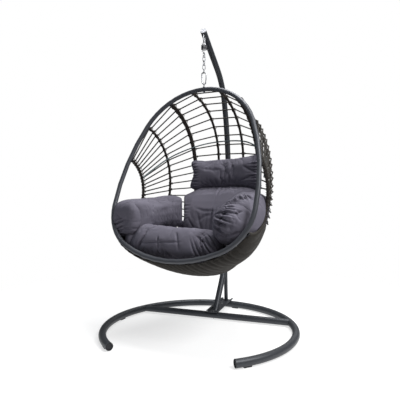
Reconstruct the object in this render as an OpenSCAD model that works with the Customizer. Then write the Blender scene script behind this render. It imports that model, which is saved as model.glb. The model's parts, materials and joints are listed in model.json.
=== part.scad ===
// Hanging egg chair: a rod-and-wicker basket with cushions, hung by a spring,
// a short chain and a snap hook from a bent mast on a C-shaped ground ring.
// Millimetres. The origin is on the ground, straight below the point that the
// basket hangs from. The sitter faces -Y, and +Z is up.

/* [Ground ring] */
// Radius of the ground ring, to the middle of its tube
ring_radius = 600; // [540:5:680]
// Diameter of the ground ring's tube
ring_tube_d = 46; // [40:1:50]
// Angle of the ring that is left open at the front
ring_mouth = 74.8; // [50:0.2:100]
// Wall of the tubes of the stand
tube_wall = 2; // [1.5:0.5:3]
// Height that the feet hold the ring off the ground
foot_height = 3; // [2:0.5:6]
// Length of a foot along the ring
foot_length = 46; // [30:1:60]
// Width of a foot
foot_width = 24; // [18:1:30]
// Depth of the plug inside each end of the ring
plug_recess = 6; // [3:1:12]
// Length of each end plug
plug_length = 18; // [12:1:30]

/* [Cross tube and tray] */
// Diameter of the cross tube
cross_tube_d = 42; // [34:1:44]
// Distance from the mast's foot forward to the cross tube
cross_setback = 45; // [36:1:60]
// Width of the tray's floor
tray_floor_w = 70; // [60:1:80]
// Width of the lip on each side of the tray
tray_lip_w = 10; // [6:1:14]
// Height of the tray's sides
tray_side_h = 14; // [10:1:20]
// Thickness of the tray's sheet
tray_sheet = 4; // [3:0.5:5]
// Diameter of the screws that hold the tray
tray_screw_d = 8; // [6:1:10]

/* [Mast] */
// Diameter of the mast's tube
mast_d = 41; // [36:1:46]
// Distance from the mast's foot back to the ring's rear
foot_to_ring_rear = 273; // [250:1:300]
// Lean of the mast's foot, up from the ground
mast_foot_angle = 49; // [45:0.5:54]
// Straight length at the mast's foot
mast_foot_run = 205; // [160:5:240]
// Radius of the mast's lower bend
mast_low_r = 500; // [400:10:600]
// Angle of the mast's lower bend
mast_low_bend = 22.5; // [18:0.5:26]
// Radius of the long bend behind the basket
mast_back_r = 1790; // [1650:10:1900]
// Angle of the long bend behind the basket
mast_back_bend = 38; // [35:0.5:41]
// Radius of the bend above the basket
mast_top_r = 410; // [360:10:460]
// Angle of the bend above the basket
mast_top_bend = 39; // [36:0.5:42]
// Straight length of the mast's arm
mast_arm_run = 362; // [320:2:400]
// Distance that the arm's end passes the hanging point
arm_overhang = 15; // [15:1:40]
// Diameter of the strut behind the mast
strut_d = 28; // [22:1:32]
// Distance from the ring's rear forward to the strut's foot
strut_setback = 14; // [10:1:24]
// Lean of the strut, forward from upright
strut_lean = 4; // [2:0.5:7]

/* [Hanging gear] */
// Diameter of the wire of the eye under the arm
arm_eye_wire = 7; // [6:0.5:8]
// Radius of the eye under the arm, to the middle of its wire
arm_eye_r = 12; // [11:0.5:14]
// Distance from the arm's middle down to the eye's lowest wire
arm_eye_drop = 61; // [56:1:80]
// Diameter of the spring's wire
spring_wire = 4.5; // [4:0.1:5]
// Radius of the spring, to the middle of its wire
spring_r = 17; // [16:0.5:19]
// Height of the spring
spring_h = 34; // [32:1:42]
// Number of turns of the spring
spring_turns = 5; // [4:1:5]
// Distance from the upper drawbar's tip down to the top of the spring
drawbar_shoulder = 27; // [24:1:34]
// Distance from the foot of the spring down to the lower drawbar's tip
drawbar_tail = 22; // [20:1:30]
// Diameter of the drawbar hooks' wire
drawbar_wire = 5; // [4:0.5:5]
// Diameter of the S-hook's wire
s_hook_wire = 5; // [4:0.5:6]
// Radius of each loop of the S-hook, to the middle of its wire
s_hook_r = 8; // [7.5:0.5:10]
// Diameter of the chain's wire
link_wire = 5.5; // [4:0.5:6]
// Length inside one chain link
link_inner = 27; // [24:0.5:34]
// Width inside one chain link
link_gap = 12; // [10:0.5:15]
// Diameter of the snap hook's wire
snap_wire = 8; // [7:0.5:9]
// Length of the snap hook over all
snap_length = 86; // [80:1:100]
// Radius of the snap hook's wide upper end, to the middle of its wire
snap_top_r = 15; // [14:0.5:18]
// Radius of the snap hook's lower end, to the middle of its wire
snap_low_r = 11.5; // [11:0.5:13]
// Diameter of the gate's hinge pin
gate_pin_d = 2.5; // [2:0.1:3]
// Diameter of the eye bolt's wire and shank
eye_wire = 7; // [6:0.5:8]
// Radius of the eye bolt's eye, to the middle of its wire
eye_r = 10.5; // [10:0.5:13]
// Width of the eye bolt's nut across its flats
eye_nut_w = 13; // [12:0.5:16]
// Height of the eye bolt's nut
eye_nut_h = 7; // [5:0.5:9]

/* [Basket rim] */
// Turn of the basket about its hanging line
basket_turn = -10; // [-30:1:30]
// Slope of the rim, away from upright
rim_tilt = 21.9; // [18:0.1:26]
// Diameter of the rim's tube
rim_d = 29; // [26:1:32]
// Wall of the tubes of the basket
basket_wall = 1.5; // [1:0.5:2]
// Radius of the rim's crown
rim_crown_r = 425; // [410:1:440]
// Angle of the rim's crown on each side
rim_crown_bend = 66.2; // [65:0.1:67.5]
// Radius of the rim's sides
rim_side_r = 1239; // [1200:1:1280]
// Angle of the rim's sides
rim_side_bend = 27; // [26:0.1:28]
// Radius of the rim's lower corners
rim_corner_r = 297; // [285:1:310]
// Angle of the rim's lower corners
rim_corner_bend = 61.6; // [60:0.1:63]

/* [Basket ribs] */
// Distance from the middle to the centre ribs
centre_rib_x = 100; // [90:1:110]
// Diameter of the centre ribs
centre_rib_d = 18; // [16:1:20]
// Radius of the centre ribs over the sitter's head
centre_top_r = 451; // [430:1:460]
// Straight length of the centre ribs behind the sitter
centre_back_run = 400; // [380:5:420]
// Radius of the centre ribs under the seat
centre_low_r = 330; // [310:5:350]
// Distance from the middle to the main ribs
main_rib_x = 252; // [240:1:260]
// Diameter of the main ribs
main_rib_d = 28; // [24:1:30]
// Radius of the main ribs over the sitter's head
main_top_r = 483; // [470:1:495]
// Straight length of the main ribs behind the sitter
main_back_run = 152; // [140:2:170]
// Radius of the main ribs under the seat
main_low_r = 410; // [390:5:430]
// Distance from the middle to the outer ribs
outer_rib_x = 390; // [380:1:396]
// Diameter of the outer ribs
outer_rib_d = 17; // [15:1:20]
// Radius of the outer ribs
outer_back_r = 400; // [390:1:410]
// Distance from the middle to the side ribs
side_rib_x = 462; // [456:1:466]
// Diameter of the side ribs
side_rib_d = 18; // [16:1:20]
// Radius of the side ribs round the arm openings
side_rib_r = 230; // [220:1:240]
// Distance down the rim to the side ribs' upper ends
side_rib_s = 495; // [480:1:510]

/* [Rods and wicker] */
// Number of rods that the ribs are divided for
rod_count = 30; // [26:1:32]
// Number of rods in the open back, above the wicker
open_rods = 18; // [15:1:20]
// Diameter of a rod
rod_d = 9; // [7:0.5:10]
// Diameter of the hoop inside the ribs
hoop_d = 10; // [8:0.5:12]
// Number of the rod that the hoop lies level with
hoop_rod = 7.6; // [6:0.1:9]
// Thickness of the wicker
wicker_t = 5; // [4:0.5:8]

/* [Cushions] */
// Width of the head pillow
pillow_w = 505; // [470:5:540]
// Height of the head pillow
pillow_h = 215; // [180:5:230]
// Thickness of the head pillow at its crown
pillow_t = 125; // [90:5:140]
// Width of the back cushion
back_w = 590; // [520:5:600]
// Height of the back cushion along its face
back_h = 430; // [380:5:440]
// Thickness of the back cushion at its crown
back_t = 205; // [170:5:215]
// Thickness of the arm cushions
arm_t = 205; // [170:5:215]
// Length of the arm cushions
arm_l = 500; // [460:5:520]
// Length of the front bolster
bolster_l = 650; // [600:5:690]
// Thickness of the front bolster
bolster_t = 185; // [150:5:195]
// Width of the seat pad
seat_w = 430; // [360:5:460]
// Depth of the seat pad
seat_depth = 330; // [280:5:360]
// Thickness of the seat pad
seat_t = 120; // [90:5:130]

/* [Hidden] */
$fn = 64;

// Clearance between wires that hang in one another
hang_gap = 0.2;
// Clearance where one piece seats on another
seat_gap = 0.3;
// Clearance of a pin or screw in its hole
pin_gap = 0.05;
screw_gap = 0.3;
// Length that a piece runs on before it is cut to its seat
cut_over = 30;

chain_links = 4;
// Turn of the plane of each piece of the hanging gear, about the hanging line
upper_turn = -26;
lower_turn = upper_turn + 90;
s_hook_turn = upper_turn;
link_turns = [50, -46, 34, -62];
snap_turn = 19;
eye_turn = snap_turn + 90;

// ---- Paths in a plane. A place is [across, up, heading in degrees], and a step is
// [straight run, bend radius, bend to the right].
function after_run(at, run) = [at[0] + run * cos(at[2]), at[1] + run * sin(at[2]), at[2]];
function after_bend(at, radius, turn) = [
    at[0] + radius * (sin(at[2]) - sin(at[2] - turn)),
    at[1] - radius * (cos(at[2]) - cos(at[2] - turn)),
    at[2] - turn
];
function after_step(at, step) = after_bend(after_run(at, step[0]), step[1], step[2]);
function step_length(step) = step[0] + step[1] * step[2] * PI / 180;
function path_length(steps, i = 0) =
    i < len(steps) ? step_length(steps[i]) + path_length(steps, i + 1) : 0;
function path_end(at, steps, i = 0) =
    i < len(steps) ? path_end(after_step(at, steps[i]), steps, i + 1) : at;
function along(at, steps, distance, i = 0) =
    distance <= steps[i][0] || steps[i][1] == 0
        ? after_run(at, distance)
        : distance <= step_length(steps[i]) || i == len(steps) - 1
            ? after_bend(
                after_run(at, steps[i][0]),
                steps[i][1],
                (distance - steps[i][0]) / steps[i][1] * 180 / PI
            )
            : along(after_step(at, steps[i]), steps, distance - step_length(steps[i]), i + 1);

// The one bend that leaves a place in its own heading and ends on a target
function closing_step(at, target) =
    let (
        chord = [target[0] - at[0], target[1] - at[1]],
        off = (at[2] - atan2(chord[1], chord[0]) + 540) % 360 - 180
    )
    [0, norm(chord) / (2 * sin(off)), 2 * off];

// ---- Sizes that follow from the driving dimensions
ring_z = foot_height + ring_tube_d / 2;
ring_top = ring_z + ring_tube_d / 2;
cross_z = ring_top - cross_tube_d / 2;
tray_z = ring_top + seat_gap;
tray_floor = tray_z + tray_sheet;

// The mast runs up and back from its foot, then forward over the basket
mast_steps = [
    [mast_foot_run, mast_low_r, mast_low_bend],
    [0, mast_back_r, mast_back_bend],
    [0, mast_top_r, mast_top_bend],
    [mast_arm_run, 0, 0]
];
mast_top = path_end([0, tray_floor, 180 - mast_foot_angle], mast_steps);
mast_foot_y = mast_top[0] - arm_overhang;
arm_slope = mast_top[2];
ring_y = mast_foot_y + foot_to_ring_rear - ring_radius;
ring_rear = ring_y + ring_radius;
cross_y = mast_foot_y - cross_setback;
cross_half = sqrt(pow(ring_radius, 2) - pow(cross_y - ring_y, 2));
strut_foot_y = ring_rear - strut_setback;

// Heights down the hanging line
arm_z = mast_top[1] - arm_overhang * tan(arm_slope);
arm_eye_z = arm_z - arm_eye_drop;
bend_sag = 0.6;
drawbar_top_z = arm_eye_z + (arm_eye_wire + drawbar_wire) / 2 + hang_gap + bend_sag;
spring_top_z = drawbar_top_z - drawbar_shoulder;
spring_foot_z = spring_top_z - spring_h;
drawbar_low_z = spring_foot_z - drawbar_tail;
s_hook_top_z = drawbar_low_z + (drawbar_wire + s_hook_wire) / 2 + hang_gap;
s_hook_low_z = s_hook_top_z - 4 * s_hook_r;
link_pitch = link_inner - hang_gap;
link_half = (link_inner + link_wire) / 2;
first_link_z = s_hook_low_z + (s_hook_wire + link_wire) / 2 + hang_gap - link_half;
last_link_z = first_link_z - (chain_links - 1) * link_pitch;
snap_top_z = last_link_z - link_half + (link_wire + snap_wire) / 2 + hang_gap;
snap_low_z = snap_top_z - (snap_length - snap_wire);
eye_top_z = snap_low_z + (snap_wire + eye_wire) / 2 + hang_gap;
eye_z = eye_top_z - eye_r;
washer_t = 2;
// Length of shank between the eye and the upper washer
neck_l = 1;
rim_z = eye_z - eye_r - eye_wire / 2 - neck_l - washer_t - rim_d / 2;

// The drawbar hooks' legs stand inside the spring
spring_steps = 8;
spring_sides = 6;
leg_x = spring_r * cos(180 / spring_steps) - (spring_wire + drawbar_wire) / 2 - seat_gap;
drawbar_bend_r = (arm_eye_wire + drawbar_wire) / 2 + 1;

// ---- The rim, in its own sloping plane: across, and down the slope
rim_turn_step = 8;
rim_closing_bend = 180 - rim_crown_bend - rim_side_bend - rim_corner_bend;
rim_shoulder = after_bend([0, 0, 0], rim_crown_r, rim_crown_bend);
rim_widest = after_bend(rim_shoulder, rim_side_r, rim_side_bend);
rim_corner = after_bend(rim_widest, rim_corner_r, rim_corner_bend);
rim_foot_r = rim_corner[0] / sin(rim_closing_bend);
rim_steps = [
    [0, rim_crown_r, rim_crown_bend],
    [0, rim_side_r, rim_side_bend],
    [0, rim_corner_r, rim_corner_bend],
    [0, rim_foot_r, rim_closing_bend]
];

// Middle of a bend to the right that leaves a place
function bend_middle(at, radius) = [at[0] + radius * sin(at[2]), at[1] - radius * cos(at[2])];
function on_circle(middle, radius, x) = sqrt(pow(radius, 2) - pow(x - middle[0], 2));
// Distance down the rim's slope to the point at x, on its upper and on its lower half
function rim_upper(x) =
    x <= rim_shoulder[0]
        ? -(bend_middle([0, 0, 0], rim_crown_r)[1] + on_circle([0, 0], rim_crown_r, x))
        : -(bend_middle(rim_shoulder, rim_side_r)[1]
            + on_circle(bend_middle(rim_shoulder, rim_side_r), rim_side_r, x));
function rim_lower(x) =
    x <= rim_corner[0]
        ? -(bend_middle(rim_corner, rim_foot_r)[1] - on_circle([0, 0], rim_foot_r, x))
        : -(bend_middle(rim_widest, rim_corner_r)[1]
            - on_circle(bend_middle(rim_widest, rim_corner_r), rim_corner_r, x));
// Place in the basket, back and up from the rim's top, of a point down the rim's slope
function down_rim(s) = [-s * sin(rim_tilt), -s * cos(rim_tilt)];

// ---- The ribs. Each is a path in a plane that runs front to back
SIDE = 0;
OUTER = 1;
MAIN = 2;
CENTRE = 3;
rib_x = [side_rib_x, outer_rib_x, main_rib_x, centre_rib_x];
rib_d = [side_rib_d, outer_rib_d, main_rib_d, centre_rib_d];

// Heading at which an arc leaves the rim, so that it is level or upright after its turn
centre_lead = 5.5;
main_lead = 15.4;
outer_lead = 16.8;

function rib_from(x, lead) = concat(down_rim(rim_upper(x)), [-lead]);
rib_starts = [
    concat(down_rim(side_rib_s), [-rim_tilt]),
    rib_from(outer_rib_x, outer_lead),
    rib_from(main_rib_x, main_lead),
    rib_from(centre_rib_x, centre_lead)
];
rib_leads = [
    [[0, side_rib_r, 90]],
    [[0, outer_back_r, 180 - outer_lead]],
    [[0, main_top_r, 90 - main_lead], [main_back_run, main_low_r, 90]],
    [[0, centre_top_r, 90 - centre_lead], [centre_back_run, centre_low_r, 90]]
];
rib_targets = [
    down_rim(side_rib_s + 2 * side_rib_r),
    down_rim(rim_lower(outer_rib_x)),
    down_rim(rim_lower(main_rib_x)),
    down_rim(rim_lower(centre_rib_x))
];
rib_paths = [
    for (k = [SIDE:CENTRE])
        concat(rib_leads[k], [closing_step(path_end(rib_starts[k], rib_leads[k]), rib_targets[k])])
];
rib_lengths = [for (k = [SIDE:CENTRE]) path_length(rib_paths[k])];

// Each rib is drawn with straight chords, and what lies on it follows the same chords
rib_turn_step = 12;
rib_stops = [for (k = [SIDE:CENTRE]) concat([0], path_stops(rib_paths[k], rib_turn_step))];
rib_corners = [
    for (k = [SIDE:CENTRE])
        [for (stop = rib_stops[k]) along(rib_starts[k], rib_paths[k], stop)]
];
function on_chord(k, distance, i = 0) =
    distance > rib_stops[k][i + 1] && i < len(rib_stops[k]) - 2
        ? on_chord(k, distance, i + 1)
        : let (
            from = rib_corners[k][i],
            to = rib_corners[k][i + 1],
            share = (distance - rib_stops[k][i]) / (rib_stops[k][i + 1] - rib_stops[k][i])
        )
        [
            from[0] + share * (to[0] - from[0]),
            from[1] + share * (to[1] - from[1]),
            atan2(to[1] - from[1], to[0] - from[0])
        ];

// A point beside rib k: side is -1 or 1, share runs from 0 at its top to 1 at its foot,
// and out is the distance outside its middle
function rib_place(k, share) = on_chord(k, share * rib_lengths[k]);
function rib_normal(k, share) = [0, -sin(rib_place(k, share)[2]), cos(rib_place(k, share)[2])];
function beside_rib(k, side, share, out) =
    let (at = rib_place(k, share))
    [side * rib_x[k], at[0], at[1]] + out * rib_normal(k, share);

// The ribs in the order in which a rod crosses them, from the left to the right
rib_order = concat([for (k = [SIDE:CENTRE]) [k, -1]], [for (k = [CENTRE:-1:SIDE]) [k, 1]]);
// The points of a bar laid over the ribs. It runs flat over each rib before it bends
// down to the next, and its middle stays the distance out from the ribs' surface.
bar_step = 2;
function bar_offset(normal, ahead, radius, stretch) =
    let (
        dip = max(0, atan2(-ahead * normal, abs(ahead[0]))),
        flat = unit(ahead - (ahead * normal) * normal)
    )
    max(bar_step, stretch * radius * tan(dip / 2) / abs(flat[0])) * flat;
function laid_over(shares, out, past, stretch) =
    let (
        last = len(rib_order) - 1,
        points = [for (c = rib_order) beside_rib(c[0], c[1], shares[c[0]], rib_d[c[0]] / 2 + out)]
    )
    [
        for (i = [0:last], way = rib_order[i][0] == CENTRE ? [rib_order[i][1]] : [-1, 1])
            let (
                k = rib_order[i][0],
                normal = rib_normal(k, shares[k]),
                open_end = i + way < 0 || i + way > last,
                ahead = unit(points[open_end ? i - way : i + way] - points[i]),
                offset = bar_offset(normal, ahead, rib_d[k] / 2 + out, stretch)
            )
            points[i] + (open_end ? -past * unit(offset) : offset)
    ];
function rod_share(number) = number / (rod_count + 1);

// ---- Solids made from rings of points
// Joins rings of equal size in order; the first and last are closed flat
module ring_solid(rings) {
    count = len(rings);
    sides = len(rings[0]);
    walls = [
        for (i = [0:count - 2], j = [0:sides - 1], half = [0, 1])
            let (
                a = i * sides + j,
                b = i * sides + (j + 1) % sides,
                c = a + sides,
                d = b + sides
            )
            half == 0 ? [a, b, d] : [a, d, c]
    ];
    first_end = [for (j = [sides - 2:-1:1]) [0, j + 1, j]];
    last = (count - 1) * sides;
    last_end = [for (j = [1:sides - 2]) [last, last + j, last + j + 1]];
    polyhedron(
        points = [for (ring = rings, point = ring) point],
        faces = concat(walls, first_end, last_end),
        convexity = 6
    );
}

function unit(v) = v / norm(v);
// Direction of a path at point i, halfway between its two neighbours
function direction(path, i) =
    unit(
        (i < len(path) - 1 ? unit(path[i + 1] - path[i]) : [0, 0, 0])
        + (i > 0 ? unit(path[i] - path[i - 1]) : [0, 0, 0])
    );
// Half the angle that a path turns through at point i
function half_turn(path, i) =
    i == 0 || i == len(path) - 1
        ? 0
        : acos(min(1, unit(path[i + 1] - path[i]) * unit(path[i] - path[i - 1]))) / 2;

// A round bar along a path that lies in the plane with the given normal
module flat_bar(path, d, normal, sides = 8) {
    ring_solid([
        for (i = [0:len(path) - 1])
            let (
                ahead = direction(path, i),
                inward = unit(cross(normal, ahead)) / cos(half_turn(path, i))
            )
            [
                for (j = [0:sides - 1])
                    path[i] + d / 2 * (cos(360 * j / sides) * inward - sin(360 * j / sides) * normal)
            ]
    ]);
}

// ---- Tubes that follow a path of runs and bends, as rings of points
// Distances along a path at which a ring stands: at each end of a run, and through each bend
function step_stops(from, step, bend) =
    let (count = max(1, ceil(step[2] / bend)), run = step[0])
    concat(
        run > 0 ? [from + run] : [],
        step[2] > 0 ? [for (i = [1:count]) from + run + i / count * (step_length(step) - run)] : []
    );
function path_stops(steps, bend, from = 0, i = 0) =
    i < len(steps)
        ? concat(
            step_stops(from, steps[i], bend),
            path_stops(steps, bend, from + step_length(steps[i]), i + 1)
        )
        : [];
function places(start, steps, bend) =
    [for (stop = concat([0], path_stops(steps, bend))) along(start, steps, stop)];

// A ring round a place of a path in the plane X = x
function tube_ring(x, at, d, sides) = [
    for (j = [0:sides - 1])
        let (angle = 360 * j / sides, up = d / 2 * sin(angle))
        [x + d / 2 * cos(angle), at[0] - up * sin(at[2]), at[1] + up * cos(at[2])]
];

// Moves the points of a ring along a direction until they lie on a tube round a middle line
function onto_tube(points, ahead, middle, axis, radius) = [
    for (point = points)
        let (
            offset = cross(point - middle, axis),
            motion = cross(ahead, axis),
            a = motion * motion,
            b = offset * motion,
            c = offset * offset - radius * radius
        )
        point + ahead * (-b - sqrt(max(0, b * b - a * c))) / a
];

// Joins rings in a closed loop
module ring_loop(rings) {
    count = len(rings);
    sides = len(rings[0]);
    polyhedron(
        points = [for (ring = rings, point = ring) point],
        faces = [
            for (i = [0:count - 1], j = [0:sides - 1], half = [0, 1])
                let (
                    next = (i + 1) % count * sides,
                    a = i * sides + j,
                    b = i * sides + (j + 1) % sides,
                    c = next + j,
                    d = next + (j + 1) % sides
                )
                half == 0 ? [a, b, d] : [a, d, c]
        ],
        convexity = 8
    );
}

// ---- Tubes and wires of true round section
module tube_section(d, wall) {
    difference() {
        circle(d = d);
        if (wall > 0)
            circle(d = d - 2 * wall);
    }
}

// An arc of wire in the upright X-Z plane, from one angle to another, with round ends
module wire_arc(radius, wire, from, to) {
    rotate([90, 0, 0])
        rotate([0, 0, from])
            rotate_extrude(angle = to - from)
                translate([radius, 0])
                    circle(d = wire, $fn = 32);
}

// A straight wire between two points of the upright X-Z plane
module wire_between(from, to, wire) {
    reach = to - from;
    translate([from[0], 0, from[1]])
        rotate([0, atan2(reach[0], reach[1]), 0])
            cylinder(d = wire, h = norm(reach), $fn = 32);
}

module down_by(z) {
    translate([0, 0, z])
        children();
}

// ---- The stand
steel = "#2b2d31";
dark = "#1b1a1c";
zinc = "#8d8f94";

module ring_arc(d, wall, from, to) {
    translate([0, ring_y, ring_z])
        rotate([0, 0, from])
            rotate_extrude(angle = to - from, $fn = 128)
                translate([ring_radius, 0])
                    tube_section(d, wall);
}

mouth_start = -90 + ring_mouth / 2;
mouth_end = 270 - ring_mouth / 2;

module base_ring() {
    color(steel)
        ring_arc(ring_tube_d, tube_wall, mouth_start, mouth_end);
}

module ring_end_plugs() {
    plug_d = ring_tube_d - 2 * tube_wall - 2 * pin_gap;
    recess = plug_recess / ring_radius * 180 / PI;
    depth = (plug_recess + plug_length) / ring_radius * 180 / PI;
    color(dark) {
        ring_arc(plug_d, 0, mouth_start + recess, mouth_start + depth);
        ring_arc(plug_d, 0, mouth_end - depth, mouth_end - recess);
    }
}

foot_angles = [-46, 7, 83.5, 96.5, 173, 226];
foot_cup = foot_width / 6;

// A foot is a flat block with a hollow top that the ring lies in
module ring_feet() {
    color(dark)
        difference() {
            for (angle = foot_angles)
                translate([ring_radius * cos(angle), ring_y + ring_radius * sin(angle), 0])
                    rotate([0, 0, angle])
                        translate([-foot_width / 2, -foot_length / 2, 0])
                            cube([foot_width, foot_length, foot_height + foot_cup]);
            ring_arc(ring_tube_d + 2 * seat_gap, 0, 0, 360);
        }
}

module cross_bar(d, wall) {
    translate([-cross_half, cross_y, cross_z])
        rotate([0, 90, 0])
            linear_extrude(height = 2 * cross_half)
                tube_section(d, wall);
}

module cross_tube() {
    color(steel)
        difference() {
            cross_bar(cross_tube_d, tube_wall);
            ring_arc(ring_tube_d + 2 * seat_gap, 0, mouth_start, mouth_end);
            screw_hole(cross_y);
        }
}

// The screws go down through the tray, one through the cross tube, where its point
// comes out underneath, and one ahead of the strut, with a nut
screw_ys = [cross_y, (mast_foot_y + strut_foot_y) / 2 + mast_d / 2];
screw_head_h = 5;
screw_head_w = 14;
screw_tip_d = 2;
nut_h = 7;
screw_point = 6;

module screw_hole(y) {
    translate([0, y, 0])
        cylinder(d = tray_screw_d + 2 * screw_gap, h = tray_floor + screw_head_h);
}

module mast_tray() {
    front = cross_y - cross_tube_d / 2 - 4;
    length = ring_rear + ring_tube_d / 2 - front;
    half = tray_floor_w / 2;
    color(steel)
        difference() {
            union() {
                translate([-half, front, tray_z])
                    cube([tray_floor_w, length, tray_sheet]);
                for (side = [-1, 1]) {
                    translate([side > 0 ? half - tray_sheet : -half, front, tray_z])
                        cube([tray_sheet, length, tray_side_h]);
                    translate([
                        side > 0 ? half - tray_sheet : -half - tray_lip_w,
                        front,
                        tray_z + tray_side_h - tray_sheet
                    ])
                        cube([tray_sheet + tray_lip_w, length, tray_sheet]);
                }
            }
            for (y = screw_ys)
                screw_hole(y);
        }
}

hexagon = 6;
// A screw whose point starts at the given height
module tray_screw(y, foot) {
    translate([0, y, tray_floor + seat_gap])
        cylinder(d = screw_head_w, h = screw_head_h, $fn = hexagon);
    translate([0, y, foot])
        cylinder(d = tray_screw_d, h = tray_floor + seat_gap - foot);
    translate([0, y, foot - screw_point])
        cylinder(d1 = screw_tip_d, d2 = tray_screw_d, h = screw_point);
}

module tray_screws() {
    nut_foot = tray_z - seat_gap - nut_h;
    color(zinc) {
        tray_screw(screw_ys[0], cross_z - cross_tube_d / 2);
        tray_screw(screw_ys[1], nut_foot);
        translate([0, screw_ys[1], nut_foot])
            cylinder(d = screw_head_w + 1, h = nut_h, $fn = hexagon);
    }
}

mast_sides = 16;
mast_turn_step = 5;

// Places of the mast from its foot to the arm's end, turned to run towards -Y
mast_places = [
    for (at = places([0, tray_floor, 180 - mast_foot_angle], mast_steps, mast_turn_step))
        [mast_foot_y - at[0], at[1], 180 - at[2]]
];

// The foot is cut level, so that it stands on the tray's floor
function cut_level(points, ahead, z) = [for (point = points) point + ahead * (z - point[2]) / ahead[2]];
function mast_rings(d) = [
    for (i = [0:len(mast_places) - 1])
        let (at = mast_places[i], ring = tube_ring(0, at, d, mast_sides))
        i == 0
            ? cut_level(ring, [0, cos(at[2]), sin(at[2])], tray_floor + seat_gap / 3)
            : ring
];

module mast() {
    color(steel)
        bored_rings(mast_rings(mast_d), mast_rings(mast_d - 2 * tube_wall));
}

cap_rim_t = 3;
cap_plug_l = 14;
// The plug clears the flat sides of the mast's bore
cap_plug_d = (mast_d - 2 * tube_wall) * cos(180 / mast_sides) - 2 * pin_gap;

module mast_cap() {
    color("#c9cbd2")
        translate([0, -arm_overhang, mast_top[1]])
            rotate([90 - arm_slope, 0, 0]) {
                down_by(-cap_plug_l)
                    cylinder(d = cap_plug_d, h = cap_plug_l + cap_rim_t);
                down_by(seat_gap / 3)
                    cylinder(d = mast_d, h = cap_rim_t);
            }
}

// Distance back of the mast's middle at a height, found by halving
function mast_place(distance) = along([0, tray_floor, 180 - mast_foot_angle], mast_steps, distance);
function mast_distance(z, low = 0, high = mast_foot_run + mast_low_r, tries = 30) =
    let (middle = (low + high) / 2)
    tries == 0
        ? middle
        : mast_place(middle)[1] < z
            ? mast_distance(z, middle, high, tries - 1)
            : mast_distance(z, low, middle, tries - 1);
function mast_back(z) = mast_foot_y - mast_place(mast_distance(z))[0];
// Length at which the strut meets the mast's middle
function strut_tip(reach) = [strut_foot_y - reach * sin(strut_lean), tray_floor + reach * cos(strut_lean)];
function strut_meets(low, high, tries = 30) =
    let (middle = (low + high) / 2, tip = strut_tip(middle))
    tries == 0
        ? middle
        : tip[0] > mast_back(tip[1])
            ? strut_meets(middle, high, tries - 1)
            : strut_meets(low, middle, tries - 1);
strut_reach = strut_meets(0, mast_foot_run + mast_low_r);
strut_end = strut_tip(strut_reach);
// Curve of the mast over the strut's mouth
strut_sag = pow(strut_d, 2) / mast_low_r;

module rear_strut() {
    mast_heading = 180 - mast_place(mast_distance(strut_end[1]))[2];
    color(steel)
        difference() {
            translate([0, strut_foot_y, tray_floor])
                rotate([strut_lean, 0, 0])
                    down_by(-cut_over)
                        linear_extrude(height = strut_reach + cut_over)
                            tube_section(strut_d, tube_wall);
            translate([0, strut_end[0], strut_end[1]])
                rotate([mast_heading - 90, 0, 0])
                    cylinder(d = mast_d + 2 * seat_gap + strut_sag, h = 12 * strut_d, center = true);
            translate([-strut_d, strut_foot_y - 2 * strut_d, tray_floor + seat_gap / 3 - 2 * strut_d])
                cube([2 * strut_d, 4 * strut_d, 2 * strut_d]);
        }
}

// A loop of wire whose legs run up into the arm's underside
module arm_eye() {
    color(zinc)
        difference() {
            rotate([0, 0, 90])
                down_by(arm_eye_z + arm_eye_r) {
                    wire_arc(arm_eye_r, arm_eye_wire, 180, 360);
                    for (side = [-1, 1])
                        wire_between([side * arm_eye_r, 0], [side * arm_eye_r, arm_eye_drop], arm_eye_wire);
                }
            translate([0, 0, arm_z])
                rotate([-arm_slope, 0, 0])
                    translate([0, -mast_d, 0])
                        rotate([-90, 0, 0])
                            cylinder(d = mast_d + seat_gap, h = 3 * mast_d);
            // What would stand above the arm's middle
            translate([0, 0, arm_z])
                rotate([-arm_slope, 0, 0])
                    translate([-mast_d, -2 * mast_d, 0])
                        cube([2 * mast_d, 4 * mast_d, 3 * mast_d]);
        }
}

// ---- The hanging gear
drawbar_toe = spring_wire + drawbar_wire;
toe_bend = 2;
drawbar_sides = 8;
drawbar_turn_step = 15;
drawbar_bend = 60;

// A drawbar hook: a triangle of wire whose legs run down inside the spring and
// turn out under its last turn. Its tip is at the origin, and it lies in the X-Z plane.
function drawbar_half(shoulder) =
    let (foot = shoulder + spring_h + drawbar_wire / 2 + 2 * seat_gap)
    concat(
        [
            for (angle = [0:drawbar_turn_step:drawbar_bend])
                [drawbar_bend_r * sin(angle), drawbar_bend_r * (cos(angle) - 1)]
        ],
        [
            [leg_x, -shoulder],
            [leg_x, -foot + toe_bend],
            [leg_x + toe_bend, -foot],
            [leg_x + drawbar_toe, -foot]
        ]
    );

module drawbar(shoulder) {
    half = drawbar_half(shoulder);
    count = len(half);
    path = concat(
        [for (i = [count - 1:-1:1]) [-half[i][0], 0, half[i][1]]],
        [for (point = half) [point[0], 0, point[1]]]
    );
    flat_bar(path, drawbar_wire, [0, 1, 0], drawbar_sides);
}

module upper_drawbar() {
    color(zinc)
        down_by(drawbar_top_z)
            rotate([0, 0, upper_turn])
                drawbar(drawbar_shoulder);
}

module lower_drawbar() {
    color(zinc)
        down_by(drawbar_low_z)
            rotate([180, 0, lower_turn])
                drawbar(drawbar_tail);
}

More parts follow.
